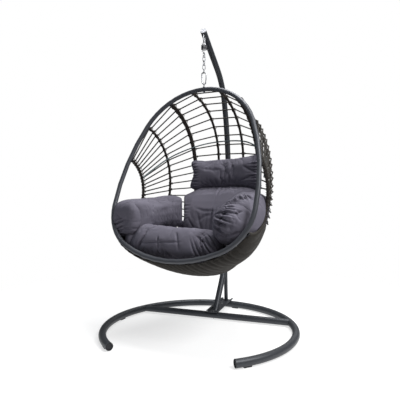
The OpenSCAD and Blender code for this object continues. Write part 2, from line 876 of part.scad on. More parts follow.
// The spring's middle line: a rising coil with a straight tail at each end
spring_rise = (spring_h - spring_wire) / spring_turns;
function coil_point(turns) = [
    spring_r * cos(360 * turns),
    spring_r * sin(360 * turns),
    spring_foot_z + spring_wire / 2 + spring_rise * turns
];
spring_path = concat(
    [coil_point(0) - spring_wire * [0, 1, 0]],
    [for (i = [0:spring_steps * spring_turns]) coil_point(i / spring_steps)],
    [coil_point(spring_turns) + spring_wire * [0, 1, 0]]
);
spring_gap = min([
    for (i = [0:len(spring_path) - 1], j = [i + spring_steps - 2:1:len(spring_path) - 1])
        norm(spring_path[i] - spring_path[j]) - spring_wire
]);
echo("least gap between the spring's turns", spring_gap);

module drawbar_spring() {
    color("#3a3b40")
        ring_solid([
            for (i = [0:len(spring_path) - 1])
                let (
                    ahead = direction(spring_path, i),
                    out = unit([spring_path[i][0], spring_path[i][1], 0]),
                    radial = unit(out - (out * ahead) * ahead),
                    across = cross(ahead, radial)
                )
                [
                    for (j = [0:spring_sides - 1])
                        let (angle = 360 * j / spring_sides)
                        spring_path[i] + spring_wire / 2 * (cos(angle) * radial - sin(angle) * across)
                ]
        ]);
}

// Points of an arc in the X-Z plane
function arc_points(z, radius, from, to, count) = [
    for (i = [0:count])
        let (angle = from + (to - from) * i / count)
        [radius * cos(angle), 0, z + radius * sin(angle)]
];

// The S-hook's upper loop opens to the left, and its lower loop to the right
hook_sides = 8;
// The upper loop of the S-hook stops short of a full turn by these angles
s_hook_start = 190;
s_hook_end = -70;

module s_hook() {
    upper = s_hook_top_z - s_hook_r;
    lower = upper - 2 * s_hook_r;
    color(zinc)
        rotate([0, 0, s_hook_turn])
            flat_bar(
                concat(
                    arc_points(upper, s_hook_r, s_hook_start, s_hook_end, 13),
                    arc_points(lower, s_hook_r, 90, 360, 15),
                    [[s_hook_r, 0, lower + 2 * s_hook_wire]]
                ),
                s_hook_wire, [0, 1, 0], hook_sides
            );
}

// Each link crosses the one above it
module chain_link(number) {
    bend = (link_gap + link_wire) / 2;
    run = link_half - bend;
    color(zinc)
        down_by(first_link_z - (number - 1) * link_pitch)
            rotate([0, 0, link_turns[number - 1]]) {
                down_by(run)
                    wire_arc(bend, link_wire, 0, 180);
                down_by(-run)
                    wire_arc(bend, link_wire, 180, 360);
                for (side = [-1, 1])
                    wire_between([side * bend, -run], [side * bend, run], link_wire);
            }
}

// The snap hook: two bends of different size joined by straight legs
snap_top_middle = snap_top_z - snap_top_r;
snap_low_middle = snap_low_z + snap_low_r;
snap_lean = asin((snap_top_r - snap_low_r) / (snap_top_middle - snap_low_middle));
function snap_leg(share) =
    (1 - share) * [snap_top_r * cos(snap_lean), snap_top_middle - snap_top_r * sin(snap_lean)]
    + share * [snap_low_r * cos(snap_lean), snap_low_middle - snap_low_r * sin(snap_lean)];
gate_top = 0.16;
gate_low = 0.86;
gate_d = snap_wire - 1;
gate_tongue = 3;
tongue_gap = 0.2;
gate_fork = 6;
gate_at = snap_leg(gate_top);

module at_gate_pin() {
    translate([gate_at[0], 0, gate_at[1]])
        children();
}

module in_snap_plane() {
    rotate([0, 0, snap_turn])
        children();
}

module gate_pin_hole() {
    at_gate_pin()
        rotate([90, 0, 0])
            cylinder(d = gate_pin_d + 2 * pin_gap, h = 2 * snap_wire, center = true);
}

// Shares of the snap hook's leg that its wire and its gate reach past the gap
tip_reach = 0.06;
gate_foot_reach = 0.012;
gate_neck_reach = 0.14;

module snap_hook() {
    slot = gate_tongue + 2 * tongue_gap;
    color(zinc)
        in_snap_plane()
            difference() {
                flat_bar(
                    concat(
                        [upright(snap_leg(gate_top + tip_reach))],
                        arc_points(snap_top_middle, snap_top_r, -snap_lean, 180 + snap_lean, 12),
                        arc_points(snap_low_middle, snap_low_r, 180 + snap_lean, 360 - snap_lean, 10),
                        [upright(snap_leg(gate_low))]
                    ),
                    snap_wire, [0, 1, 0], hook_sides
                );
                gate_pin_hole();
                // Slot for the gate's tongue
                at_gate_pin()
                    translate([-snap_wire, -slot / 2, -snap_wire])
                        cube([2 * snap_wire, slot, snap_wire + gate_fork]);
            }
}
function upright(point) = [point[0], 0, point[1]];

module snap_gate() {
    foot = snap_leg(gate_low - gate_foot_reach);
    neck = snap_leg(gate_top + gate_neck_reach);
    color("#b9bbc0")
        in_snap_plane()
            difference() {
                union() {
                    wire_between(foot, neck, gate_d);
                    at_gate_pin()
                        rotate([90, 0, 0])
                            cylinder(d = gate_d - 1, h = gate_tongue, center = true);
                    hinge_tongue(neck);
                }
                gate_pin_hole();
            }
}

module hinge_tongue(neck) {
    reach = gate_at - neck;
    translate([neck[0], 0, neck[1]])
        rotate([0, atan2(reach[0], reach[1]), 0])
            translate([-(gate_d - 1) / 2, -gate_tongue / 2, -2])
                cube([gate_d - 1, gate_tongue, norm(reach) + 2]);
}

module gate_pin() {
    color(zinc)
        in_snap_plane()
            at_gate_pin()
                rotate([90, 0, 0])
                    cylinder(d = gate_pin_d, h = snap_wire, center = true);
}

// ---- The basket. Everything in it is drawn from the middle of the rim's top
module in_basket() {
    rotate([0, 0, basket_turn])
        down_by(rim_z)
            children();
}

// The eye bolt goes down through the rim. A washer lies over the rim and one under it,
// and the nut closes on the lower one.
washer_d = 16;
thread_past_nut = 3;
lower_washer_z = -rim_d / 2 - washer_t - seat_gap - washer_d / 2 * tan(rim_turn_step / 2);
nut_z = lower_washer_z - eye_nut_h - seat_gap;

module eye_bolt() {
    shank_foot = rim_z + nut_z - thread_past_nut;
    color(zinc) {
        down_by(eye_z)
            rotate([0, 0, eye_turn])
                wire_arc(eye_r, eye_wire, 0, 360);
        down_by(shank_foot)
            cylinder(d = eye_wire, h = eye_z - eye_r - shank_foot);
    }
}

module bored(outer, bore, height, sides) {
    difference() {
        cylinder(d = outer, h = height, $fn = sides);
        down_by(-height)
            cylinder(d = bore, h = 3 * height);
    }
}

module eye_washers() {
    color(zinc)
        in_basket() {
            down_by(rim_d / 2 + seat_gap)
                bored(washer_d, eye_wire + 2 * screw_gap, washer_t, $fn);
            down_by(lower_washer_z)
                bored(washer_d, eye_wire + 2 * screw_gap, washer_t, $fn);
        }
}

module eye_nut() {
    color(zinc)
        in_basket()
            down_by(nut_z)
                bored(eye_nut_w / cos(180 / hexagon), eye_wire + 2 * pin_gap, eye_nut_h, hexagon);
}

rim_sides = 14;
rim_bore_sides = 8;
rim_half = places([0, 0, 0], rim_steps, rim_turn_step);
rim_places = concat(rim_half, [for (i = [len(rim_half) - 2:-1:1]) mirrored(rim_half[i])]);

// A ring round a place in the rim's sloping plane
function rim_ring(at, d, sides) = [
    for (j = [0:sides - 1])
        let (
            angle = 360 * j / sides,
            out = d / 2 * cos(angle),
            behind = d / 2 * sin(angle),
            down = at[1] + out * cos(at[2])
        )
        [
            at[0] - out * sin(at[2]),
            down * sin(rim_tilt) + behind * cos(rim_tilt),
            down * cos(rim_tilt) - behind * sin(rim_tilt)
        ]
];

module rim() {
    color("#33373d")
        in_basket()
            difference() {
                ring_loop([for (at = rim_places) rim_ring(at, rim_d, rim_sides)]);
                ring_loop([for (at = rim_places) rim_ring(at, rim_d - 2 * basket_wall, rim_bore_sides)]);
                cylinder(d = eye_wire + 2 * screw_gap, h = 2 * rim_d, center = true);
            }
}
function mirrored(at) = [-at[0], at[1], -at[2]];

// Heading of the rim, in its own plane, at x on its upper and on its lower half
function rim_upper_heading(x) =
    x <= rim_shoulder[0]
        ? -asin(x / rim_crown_r)
        : -asin((x - bend_middle(rim_shoulder, rim_side_r)[0]) / rim_side_r);
function rim_lower_heading(x) =
    x <= rim_corner[0]
        ? asin(x / rim_foot_r) - 180
        : asin((x - bend_middle(rim_widest, rim_corner_r)[0]) / rim_corner_r) - 180;
function in_slope(x, down) = [x, down * sin(rim_tilt), down * cos(rim_tilt)];

// A rib's two mouths are cut to fit round the rim
rib_sides = [8, 8, 12, 8];
mouth_fit = [1.6, 0.6, 0.8, 0.5];

function rib_rings(k, d) =
    let (
        stops = rib_corners[k],
        last = len(stops) - 1,
        radius = rim_d / 2 + mouth_fit[k],
        top_heading = rim_upper_heading(rib_x[k]),
        low_heading = rim_lower_heading(rib_x[k]),
        top_place = concat([rib_x[k]], [stops[0][0], stops[0][1]]),
        low_place = concat([rib_x[k]], [stops[last][0], stops[last][1]]),
        out = [0, cos(stops[0][2]), sin(stops[0][2])],
        home = [0, -cos(stops[last][2]), -sin(stops[last][2])],
        top_ring = tube_ring(rib_x[k], after_run(stops[0], cut_over), d, rib_sides[k]),
        low_ring = tube_ring(rib_x[k], after_run(stops[last], -cut_over), d, rib_sides[k])
    )
    concat(
        [onto_tube(top_ring, -out, top_place, in_slope(cos(top_heading), sin(top_heading)), radius)],
        [for (i = [1:last - 1]) tube_ring(rib_x[k], stops[i], d, rib_sides[k])],
        [onto_tube(low_ring, -home, low_place, in_slope(cos(low_heading), sin(low_heading)), radius)]
    );

// A tube with two open mouths, from its outer rings and the rings of its bore
module bored_rings(outer, bore) {
    ring_loop(concat(outer, [for (i = [len(bore) - 1:-1:0]) bore[i]]));
}

module rib(k, side) {
    color("#26221f")
        in_basket()
            mirror([side < 0 ? 1 : 0, 0, 0])
                bored_rings(rib_rings(k, rib_d[k]), rib_rings(k, rib_d[k] - 2 * basket_wall));
}

// The hoop passes just inside the ribs, level with one of the rods
hoop_bends = 4;
hoop_gap = 0.6;
// Each knot lies square off its rib and square off the hoop's own run
function inside_ribs(share) =
    let (
        last = len(rib_order) - 1,
        middles = [for (c = rib_order) beside_rib(c[0], c[1], share, 0)]
    )
    [
        for (i = [0:last])
            let (
                k = rib_order[i][0],
                heading = rib_place(k, share)[2],
                run = middles[min(last, i + 1)] - middles[max(0, i - 1)],
                square = unit(cross([0, cos(heading), sin(heading)], run)),
                way = square * rib_normal(k, share) > 0 ? -1 : 1
            )
            middles[i] + way * ((rib_d[k] + hoop_d) / 2 + hoop_gap) * square
    ];
function knot(knots, i) = knots[max(0, min(len(knots) - 1, i))];
// A smooth curve through the knots
function curve_point(knots, i, t) =
    let (
        before = knot(knots, i - 1),
        start = knot(knots, i),
        end = knot(knots, i + 1),
        beyond = knot(knots, i + 2)
    )
    0.5 * (2 * start + (end - before) * t + (2 * before - 5 * start + 4 * end - beyond) * t * t
        + (3 * start - before - 3 * end + beyond) * t * t * t);
function plane_normal(points) =
    unit(cross(points[len(points) - 1] - points[0], points[floor(len(points) / 2)] - points[0]));

module mid_hoop() {
    knots = inside_ribs(rod_share(hoop_rod));
    path = concat(
        [for (i = [0:len(knots) - 2], step = [0:hoop_bends - 1]) curve_point(knots, i, step / hoop_bends)],
        [knots[len(knots) - 1]]
    );
    color("#4c5a60")
        in_basket()
            flat_bar(path, hoop_d, plane_normal(knots));
}

rod_sides = 6;
rod_seat = 0.5;
rod_stretch = 1.4;

module back_rods() {
    color("#241d1b")
        in_basket()
            for (number = [1:open_rods]) {
                share = rod_share(number);
                path = laid_over([share, share, share, share], rod_d / 2 + rod_seat, rod_d, rod_stretch);
                flat_bar(path, rod_d, plane_normal(path), rod_sides);
            }
}

// ---- The wicker: a woven bowl over the outside of the ribs, below the open rods
wicker_rows = 14;
wicker_gap = 3;
wicker_top = rod_share(open_rods + 1);
rim_setbacks = [40, 24, 18, 17];
// A level of the bowl, from 0 at its upper edge to 1 where it comes to the rim
function bowl_shares(level) = [
    for (k = [SIDE:CENTRE]) wicker_top + level * (1 - wicker_top - rim_setbacks[k] / rib_lengths[k])
];
wicker_stretch = 1.5;
function bowl_level(level, out) = laid_over(bowl_shares(level), out, rod_d, wicker_stretch);

// A sheet with a thickness, from two grids of points with as many rows and columns
module sheet_solid(outer, inner) {
    rows = len(outer);
    columns = len(outer[0]);
    count = rows * columns;
    skins = [
        for (i = [0:rows - 2], j = [0:columns - 2], skin = [0, 1], half = [0, 1])
            let (
                a = skin * count + i * columns + j,
                b = a + 1,
                c = a + columns,
                d = c + 1
            )
            skin == 1
                ? (half == 0 ? [a, b, d] : [a, d, c])
                : (half == 0 ? [a, d, b] : [a, c, d])
    ];
    sides = [
        for (i = [0:rows - 2], side = [0, 1], half = [0, 1])
            let (
                a = i * columns + side * (columns - 1),
                b = a + columns,
                c = a + count,
                d = b + count
            )
            side == 1
                ? (half == 0 ? [a, b, d] : [a, d, c])
                : (half == 0 ? [a, d, b] : [a, c, d])
    ];
    ends = [
        for (j = [0:columns - 2], end = [0, 1], half = [0, 1])
            let (
                a = end * (rows - 1) * columns + j,
                b = a + 1,
                c = a + count,
                d = b + count
            )
            end == 1
                ? (half == 0 ? [a, d, b] : [a, c, d])
                : (half == 0 ? [a, b, d] : [a, d, c])
    ];
    polyhedron(
        points = concat([for (row = outer, point = row) point], [for (row = inner, point = row) point]),
        faces = concat(skins, sides, ends),
        convexity = 8
    );
}

module wicker_bowl() {
    levels = [for (row = [0:wicker_rows]) row / wicker_rows];
    color("#241c19")
        in_basket()
            sheet_solid(
                [for (level = levels) bowl_level(level, wicker_t + wicker_gap)],
                [for (level = levels) bowl_level(level, wicker_gap)]
            );
}

// ---- The cushions. Each is swept along a bowed line. Its section swells to a crown
// in the middle, thins towards its ends and is drawn in along its long sides.
linen = "#57545f";
cushion_rings = 20;
cushion_sides = 18;

function bowed(from, middle, to, t) =
    let (pull = 2 * middle - (from + to) / 2)
    (1 - t) * (1 - t) * from + 2 * t * (1 - t) * pull + t * t * to;
// How full a section is at t along the cushion: 1 in the middle and 0 at its ends
function fullness(t, squareness) = pow(1 - pow(abs(2 * t - 1), squareness), 1 / squareness);
function rounded(value, power) = sign(value) * pow(abs(value), power);
// Sewn creases: each is [place along the cushion, half its width, its depth as a share]
function creased(t, creases) =
    len(creases) == 0
        ? 1
        : 1 - max([for (crease = creases) crease[2] * exp(-pow((t - crease[0]) / crease[1], 2))]);
// How far the sections are drawn out into corners: 1 is an ellipse
section_power = 0.85;
// Share of the line that is left out at each end
end_trim = 0.04;

module cushion(line, up, thick, high, square_thick, square_high, creases = [], drawn = 0) {
    rings = [
        for (i = [0:cushion_rings])
            let (
                t = (1 - cos(180 * (end_trim + (1 - 2 * end_trim) * i / cushion_rings))) / 2,
                near = 0.01,
                ahead = unit(
                    bowed(line[0], line[1], line[2], t + near) - bowed(line[0], line[1], line[2], t - near)
                ),
                across = unit(cross(ahead, up)),
                rise = cross(across, ahead),
                half_thick = thick / 2 * fullness(t, square_thick) * creased(t, creases),
                half_high = high / 2 * fullness(t, square_high) * (1 - drawn * (1 - pow(2 * t - 1, 2)))
            )
            [
                for (j = [0:cushion_sides - 1])
                    let (angle = 360 * j / cushion_sides)
                    bowed(line[0], line[1], line[2], t)
                        + half_thick * rounded(cos(angle), section_power) * across
                        + half_high * rounded(sin(angle), section_power) * rise
            ]
    ];
    color(linen)
        in_basket()
            ring_solid(rings);
}

// A line across the basket from x = -half to x = half, moved aside, from the place of its
// middle and the place of its ends, both back and up
function across_line(half, middle, end, aside = 0) = [
    [aside - half, end[0], end[1]],
    [aside, middle[0], middle[1]],
    [aside + half, end[0], end[1]]
];

// Where the cushions lie, back and up from the rim's top: the rim's widest place, its
// foot, the top of the bed that the centre ribs make, and the wall behind the sitter
rim_side = down_rim(-rim_widest[1]);
rim_foot = down_rim(rim_lower(0));
bed_z = min([for (at = rib_corners[CENTRE]) at[1]]) + centre_rib_d / 2;
back_wall = rib_starts[CENTRE][0] + centre_top_r * (1 - sin(centre_lead)) - centre_rib_d / 2;

back_lean = [0, 0.664, 0.747];
back_stand_off = 159.6;
back_over_bed = 338;
back_end_rise = 64;
// The ends of the back cushion follow a curve of this radius
back_bow_r = 500;
module back_cushion() {
    middle = [back_wall - back_stand_off, bed_z + back_over_bed];
    ends = [middle[0] - pow(back_w / 2, 2) / (2 * back_bow_r), middle[1] + back_end_rise];
    cushion(
        line = across_line(back_w / 2, middle, ends),
        up = back_lean,
        thick = back_t,
        high = back_h,
        square_thick = 2.2,
        square_high = 2.7,
        creases = [[0.5, 0.3, 0.04]],
        drawn = 0.04
    );
}

pillow_up = [0, 0.1, 1];
pillow_bow = 72.4;
pillow_end_rise = 4;
pillow_aside = 17;
pillow_over_back = 26;
module head_pillow() {
    middle = [
        back_wall - pillow_t / 2 - seat_gap,
        bed_z + back_over_bed + (back_h * back_lean[2] + pillow_h) / 2 + pillow_over_back
    ];
    cushion(
        line = across_line(pillow_w / 2, middle, middle + [-pillow_bow, pillow_end_rise], pillow_aside),
        up = pillow_up,
        thick = pillow_t,
        high = pillow_h,
        square_thick = 2.4,
        square_high = 7,
        creases = [[0.93, 0.06, 0.25], [0.5, 0.2, 0.04]],
        drawn = 0.05
    );
}

// The middle of an arm cushion: out from the basket's middle, back and up
arm_behind_rim = 197;
arm_below_widest = 52;
arm_place = [
    side_rib_x - (side_rib_d + arm_t) / 2 - seat_gap,
    rim_side[0] + arm_behind_rim,
    rim_side[1] - arm_below_widest
];
// Front end, middle and rear end of the arm cushions: out from that place, back as a
// share of the cushion's length, and up
left_arm_line = [[18, -0.46, -18], [-6, -0.03, 0], [-100, 0.34, 4]];
right_arm_line = [[-36, -0.46, -80], [4, -0.02, 1], [-58, 0.36, 12]];
function arm_points(side, line) = [
    for (point = line)
        [side * (arm_place[0] + point[0]), arm_place[1] + arm_l * point[1], arm_place[2] + point[2]]
];

module arm_cushion_left() {
    cushion(
        line = arm_points(-1, left_arm_line),
        up = [0, 0, 1],
        thick = arm_t,
        high = arm_t * 0.9,
        square_thick = 4,
        square_high = 3.4,
        creases = [[0.12, 0.05, 0.16], [0.86, 0.1, 0.06]]
    );
}

module arm_cushion_right() {
    cushion(
        line = arm_points(1, right_arm_line),
        up = [0, 0, 1],
        thick = arm_t,
        high = arm_t * 1.08,
        square_thick = 3,
        square_high = 3,
        creases = [[0.2, 0.06, 0.14], [0.6, 0.08, 0.1]]
    );
}

bolster_up = [0, 0.3, 1];
bolster_aside = -58;
// Left end, middle and right end of the front bolster, back and up from the rim's foot
bolster_line = [[160, 102.4], [150, 80.4], [165, 90.4]];
module front_bolster() {
    points = [
        for (i = [0:2])
            [
                bolster_aside + (i - 1) * bolster_l / 2,
                rim_foot[0] + bolster_line[i][0],
                rim_foot[1] + bolster_line[i][1]
            ]
    ];
    cushion(
        line = points,
        up = bolster_up,
        thick = bolster_t,
        high = bolster_t,
        square_thick = 2.8,
        square_high = 2.8,
        creases = [[0.16, 0.03, 0.2], [0.47, 0.03, 0.08], [0.84, 0.06, 0.12]]
    );
}

// The seat pad's middle, back and above the bed, and how much its ends lie back and up
seat_place = [10, 66.8];
seat_bow = [-10, 22];
module seat_pad() {
    middle = [seat_place[0], bed_z + seat_place[1]];
    cushion(
        line = across_line(seat_w / 2, middle, middle + seat_bow),
        up = [0, 0, 1],
        thick = seat_depth,
        high = seat_t * 0.9,
        square_thick = 4,
        square_high = 2.6
    );
}

base_ring();
ring_end_plugs();
ring_feet();
cross_tube();
mast_tray();
tray_screws();
mast();
mast_cap();
rear_strut();
arm_eye();
upper_drawbar();
drawbar_spring();
lower_drawbar();
s_hook();
chain_link(1);  // chain_link_1
chain_link(2);  // chain_link_2
chain_link(3);  // chain_link_3
chain_link(4);  // chain_link_4
snap_hook();
snap_gate();
gate_pin();
eye_bolt();
eye_washers();
eye_nut();
rim();
rib(CENTRE, -1);  // centre_rib_left
rib(CENTRE, 1);  // centre_rib_right
rib(MAIN, -1);  // main_rib_left
rib(MAIN, 1);  // main_rib_right
rib(OUTER, -1);  // outer_rib_left
rib(OUTER, 1);  // outer_rib_right
rib(SIDE, -1);  // side_rib_left
rib(SIDE, 1);  // side_rib_right
mid_hoop();
back_rods();
wicker_bowl();
seat_pad();
front_bolster();
arm_cushion_left();
arm_cushion_right();
back_cushion();
head_pillow();
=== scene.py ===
"""Hanging egg chair: cushions, woven bowl, lashings, spring, coats and stage for the frame."""

import json
import math
import random

import bmesh
import bpy
from mathutils import Matrix, Vector
from mathutils.bvhtree import BVHTree
from mathutils.kdtree import KDTree


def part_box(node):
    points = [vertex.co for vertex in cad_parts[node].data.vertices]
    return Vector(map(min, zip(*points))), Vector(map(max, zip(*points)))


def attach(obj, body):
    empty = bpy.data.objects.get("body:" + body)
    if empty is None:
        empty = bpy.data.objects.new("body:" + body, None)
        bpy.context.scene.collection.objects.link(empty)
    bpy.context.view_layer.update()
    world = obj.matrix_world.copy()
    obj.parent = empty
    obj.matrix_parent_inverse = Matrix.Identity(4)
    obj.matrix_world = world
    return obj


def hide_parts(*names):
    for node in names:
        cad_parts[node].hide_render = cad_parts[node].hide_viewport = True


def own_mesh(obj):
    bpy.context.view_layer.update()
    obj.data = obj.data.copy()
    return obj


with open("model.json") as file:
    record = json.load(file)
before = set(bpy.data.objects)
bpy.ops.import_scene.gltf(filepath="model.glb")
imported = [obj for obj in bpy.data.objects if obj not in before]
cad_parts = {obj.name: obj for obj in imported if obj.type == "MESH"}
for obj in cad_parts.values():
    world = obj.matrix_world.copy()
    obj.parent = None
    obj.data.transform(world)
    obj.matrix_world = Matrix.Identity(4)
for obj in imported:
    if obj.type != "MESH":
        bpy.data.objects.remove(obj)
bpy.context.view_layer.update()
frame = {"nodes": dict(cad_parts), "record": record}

bl_info = {
    "name": "Hanging egg chair",
    "version": (1, 0, 0),
    "blender": (4, 5, 0),
    "location": "View3D > Sidebar > Egg chair",
    "description": "Dresses the frame of a hanging egg chair with cushions, wicker and coats",
    "category": "Object",
}

MM = 0.001
SIDE, OUTER, MAIN, CENTRE = range(4)
SAME_POINT = 1e-6


# ---- Sizes and colours that a user would change
def length(name, description, value):
    return bpy.props.FloatProperty(
        name=name, description=description, default=value, subtype="DISTANCE", unit="LENGTH"
    )


def slope(name, description, value):
    return bpy.props.FloatProperty(
        name=name, description=description, default=value, subtype="ANGLE", unit="ROTATION"
    )


def colour(name, description, value):
    return bpy.props.FloatVectorProperty(
        name=name, description=description, default=value, subtype="COLOR", size=3, min=0, max=1
    )


class ChairSizes(bpy.types.PropertyGroup):
    basket_turn: slope("Basket turn", "Turn about the hanging line", math.radians(-10))
    rim_tilt: slope("Rim slope", "Slope of the rim, away from upright", math.radians(21.9))
    rim_diameter: length("Rim tube", "Diameter of the rim's tube", 0.029)
    rod_diameter: length("Rod", "Diameter of the rods of the open back", 0.009)
    rod_count: bpy.props.IntProperty(
        name="Rod places", description="Number of rods that the ribs are divided for", default=30
    )
    open_rods: bpy.props.IntProperty(
        name="Open rods", description="Number of rods above the wicker", default=18
    )
    strand_diameter: length("Strand", "Diameter of the woven strands of the bowl", 0.0074)
    strand_pitch: length("Strand pitch", "Distance from one woven strand to the next", 0.0086)
    stake_pitch: length("Stake pitch", "Distance between the stakes in the weave", 0.040)
    lash_diameter: length("Lashing", "Diameter of the strand round rods and ribs", 0.0042)
    cloth_voxel: length("Cloth grain", "Mesh size of the cushions' cloth", 0.006)
    cloth_inset: length("Cloth inset", "How much smaller a cushion starts", 0.003)
    cloth_travel: length("Cloth travel", "Farthest that a cushion's cloth may move", 0.024)


class ChairColours(bpy.types.PropertyGroup):
    stand: colour("Stand", "Powder coat of the mast and the ground ring", (0.0042, 0.0044, 0.0052))
    rim: colour("Rim", "Powder coat of the basket's rim", (0.0055, 0.0090, 0.0145))
    ribs: colour("Ribs", "Powder coat of the ribs", (0.0034, 0.0028, 0.0028))
    hoop: colour("Hoop", "Powder coat of the hoop inside the ribs", (0.022, 0.034, 0.038))
    wicker: colour("Wicker", "Resin strand of the bowl and the rods", (0.0036, 0.0024, 0.0021))
    zinc: colour("Zinc", "Plating of the chain and the hooks", (0.030, 0.030, 0.032))
    spring: colour("Spring", "Oiled steel of the spring", (0.050, 0.052, 0.058))
    plugs: colour("Plugs", "Plastic of the feet and the plugs", (0.014, 0.014, 0.015))
    cap: colour("Cap", "Plastic of the cap on the mast", (0.42, 0.43, 0.47))
    linen: colour("Linen", "Cloth of the cushions", (0.058, 0.055, 0.076))
    linen_thread: colour("Linen thread", "Pale threads in the cloth", (0.185, 0.175, 0.225))
    floor: colour("Floor", "Plain floor under the chair", (0.45, 0.45, 0.45))


# ---- Paths in a plane. A place is (across, up, heading in radians), and a step is
# (straight run, bend radius, bend to the right).
def after_run(at, run):
    return (at[0] + run * math.cos(at[2]), at[1] + run * math.sin(at[2]), at[2])


def after_bend(at, radius, turn):
    return (
        at[0] + radius * (math.sin(at[2]) - math.sin(at[2] - turn)),
        at[1] - radius * (math.cos(at[2]) - math.cos(at[2] - turn)),
        at[2] - turn,
    )


def along(at, steps, distance):
    """The place at a distance along the steps, or their end"""
    for run, radius, turn in steps:
        if distance <= run:
            return after_run(at, distance)
        at = after_run(at, run)
        distance -= run
        if distance <= radius * turn:
            return after_bend(at, radius, distance / radius)
        at = after_bend(at, radius, turn)
        distance -= radius * turn
    return at


def closing_step(at, target):
    """The bend that leads from a place to a target point"""
    chord = (target[0] - at[0], target[1] - at[1])
    off = (at[2] - math.atan2(chord[1], chord[0]) + 3 * math.pi) % (2 * math.pi) - math.pi
    return (0.0, math.hypot(*chord) / (2 * math.sin(off)), 2 * off)


def path_length(steps):
    return sum(run + radius * turn for run, radius, turn in steps)


class Basket:
    """The tubes of the basket as paths, in the basket's own frame, in metres"""

    # Radius and bend of each arc of the rim, from the top down
    crown = (425 * MM, math.radians(66.2))
    side = (1239 * MM, math.radians(27))
    corner = (297 * MM, math.radians(61.6))
    # Half distance of each pair of ribs and their diameters, from the side to the centre
    rib_x = (462 * MM, 390 * MM, 252 * MM, 100 * MM)
    rib_d = (18 * MM, 17 * MM, 28 * MM, 18 * MM)
    outer_back_r = 400 * MM
    outer_lead = math.radians(16.8)
    main_top_r = 483 * MM
    main_back_run = 152 * MM
    main_low_r = 410 * MM
    main_lead = math.radians(15.4)
    centre_top_r = 451 * MM
    centre_back_run = 400 * MM
    centre_low_r = 330 * MM
    centre_lead = math.radians(5.5)
    side_rib_r = 230 * MM
    side_rib_s = 495 * MM
    halvings = 40
    order = [(k, -1) for k in range(4)] + [(k, 1) for k in reversed(range(4))]

    def __init__(self, sizes):
        self.sizes = sizes
        top = Vector((0, 0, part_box("rim")[1].z - sizes.rim_diameter / 2))
        self.turn = Matrix.Rotation(sizes.basket_turn, 4, "Z")
        self.frame = Matrix.Translation(top) @ self.turn
        closing = math.pi - self.crown[1] - self.side[1] - self.corner[1]
        steps = [(0, *arc) for arc in (self.crown, self.side, self.corner)]
        low_corner = along((0, 0, 0), steps, math.inf)
        self.rim_steps = [*steps, (0, low_corner[0] / math.sin(closing), closing)]
        quarter = math.pi / 2
        self.starts = [
            (*self.down_rim(self.side_rib_s), -sizes.rim_tilt),
            self.rib_from(self.rib_x[OUTER], self.outer_lead),
            self.rib_from(self.rib_x[MAIN], self.main_lead),
            self.rib_from(self.rib_x[CENTRE], self.centre_lead),
        ]
        leads = [
            [(0, self.side_rib_r, quarter)],
            [(0, self.outer_back_r, math.pi - self.outer_lead)],
            [
                (0, self.main_top_r, quarter - self.main_lead),
                (self.main_back_run, self.main_low_r, quarter),
            ],
            [
                (0, self.centre_top_r, quarter - self.centre_lead),
                (self.centre_back_run, self.centre_low_r, quarter),
            ],
        ]
        targets = [self.down_rim(self.side_rib_s + 2 * self.side_rib_r)]
        targets += [self.down_rim(self.rim_down(x, False)) for x in self.rib_x[OUTER:]]
        self.paths = []
        for start, lead, target in zip(self.starts, leads, targets):
            end = along(start, lead, math.inf)
            self.paths.append(lead + [closing_step(end, target)])
        self.lengths = [path_length(path) for path in self.paths]

    def down_rim(self, distance):
        """The point in the side view at a distance down the rim's slope"""
        tilt = self.sizes.rim_tilt
        return (-distance * math.sin(tilt), -distance * math.cos(tilt))

    def rim_down(self, x, upper):
        """Distance down the rim's slope to its point at x"""
        low, high = (0, 0.5) if upper else (0.5, 1)
        total = path_length(self.rim_steps)
        for _ in range(self.halvings):
            middle = (low + high) / 2
            past = along((0, 0, 0), self.rim_steps, middle * total)[0] > x
            if past == upper:
                high = middle
            else:
                low = middle
        return -along((0, 0, 0), self.rim_steps, low * total)[1]

    def rib_from(self, x, lead):
        return (*self.down_rim(self.rim_down(x, True)), -lead)

    def on_rib(self, k, share):
        return along(self.starts[k], self.paths[k], share * self.lengths[k])

    def beside_rib(self, k, hand, share, out):
        """A point the given distance outside the middle of a rib, and the rib's own way there"""
        back, up, heading = self.on_rib(k, share)
        normal = Vector((0, -math.sin(heading), math.cos(heading)))
        ahead = Vector((0, math.cos(heading), math.sin(heading)))
        return Vector((hand * self.rib_x[k], back, up)) + out * normal, ahead, normal

    def seats(self, shares, gap, side=1):
        """Where a line crosses the ribs, outside or, on side -1, inside their tubes by the gap"""
        return [
            self.beside_rib(k, hand, shares[k], side * (self.rib_d[k] / 2 + gap))
            for k, hand in self.order
        ]

    def place(self, point):
        return self.frame @ Vector(point)

    def rod_share(self, number):
        """How far along each rib a rod lies over it, as a share of the rib's length"""
        return number / (self.sizes.rod_count + 1)


# ---- Materials
class Socket:
    """A socket in a tree of nodes, on which arithmetic adds nodes"""

    def __init__(self, nodes, socket):
        self.nodes = nodes
        self.socket = socket

    def beside(self, name):
        """Another output of the same node"""
        return Socket(self.nodes, self.socket.node.outputs[name])

    def maths(self, operation, *values):
        return self.nodes.node("ShaderNodeMath", {"operation": operation}, dict(enumerate(values)))

    def __add__(self, other):
        return self.maths("ADD", self, other)

    __radd__ = __add__

    def __sub__(self, other):
        return self.maths("SUBTRACT", self, other)

    def __rsub__(self, other):
        return self.maths("SUBTRACT", other, self)

    def __mul__(self, other):
        return self.maths("MULTIPLY", self, other)

    __rmul__ = __mul__

    def sine(self):
        return self.maths("SINE", self)

    def at_least(self, other):
        return self.maths("MAXIMUM", self, other)

    def between(self, low, high):
        """How far the value is from low to high, kept within 0 and 1"""
        values = {"Value": self, "From Min": low, "From Max": high}
        return self.nodes.node("ShaderNodeMapRange", {"clamp": True}, values)


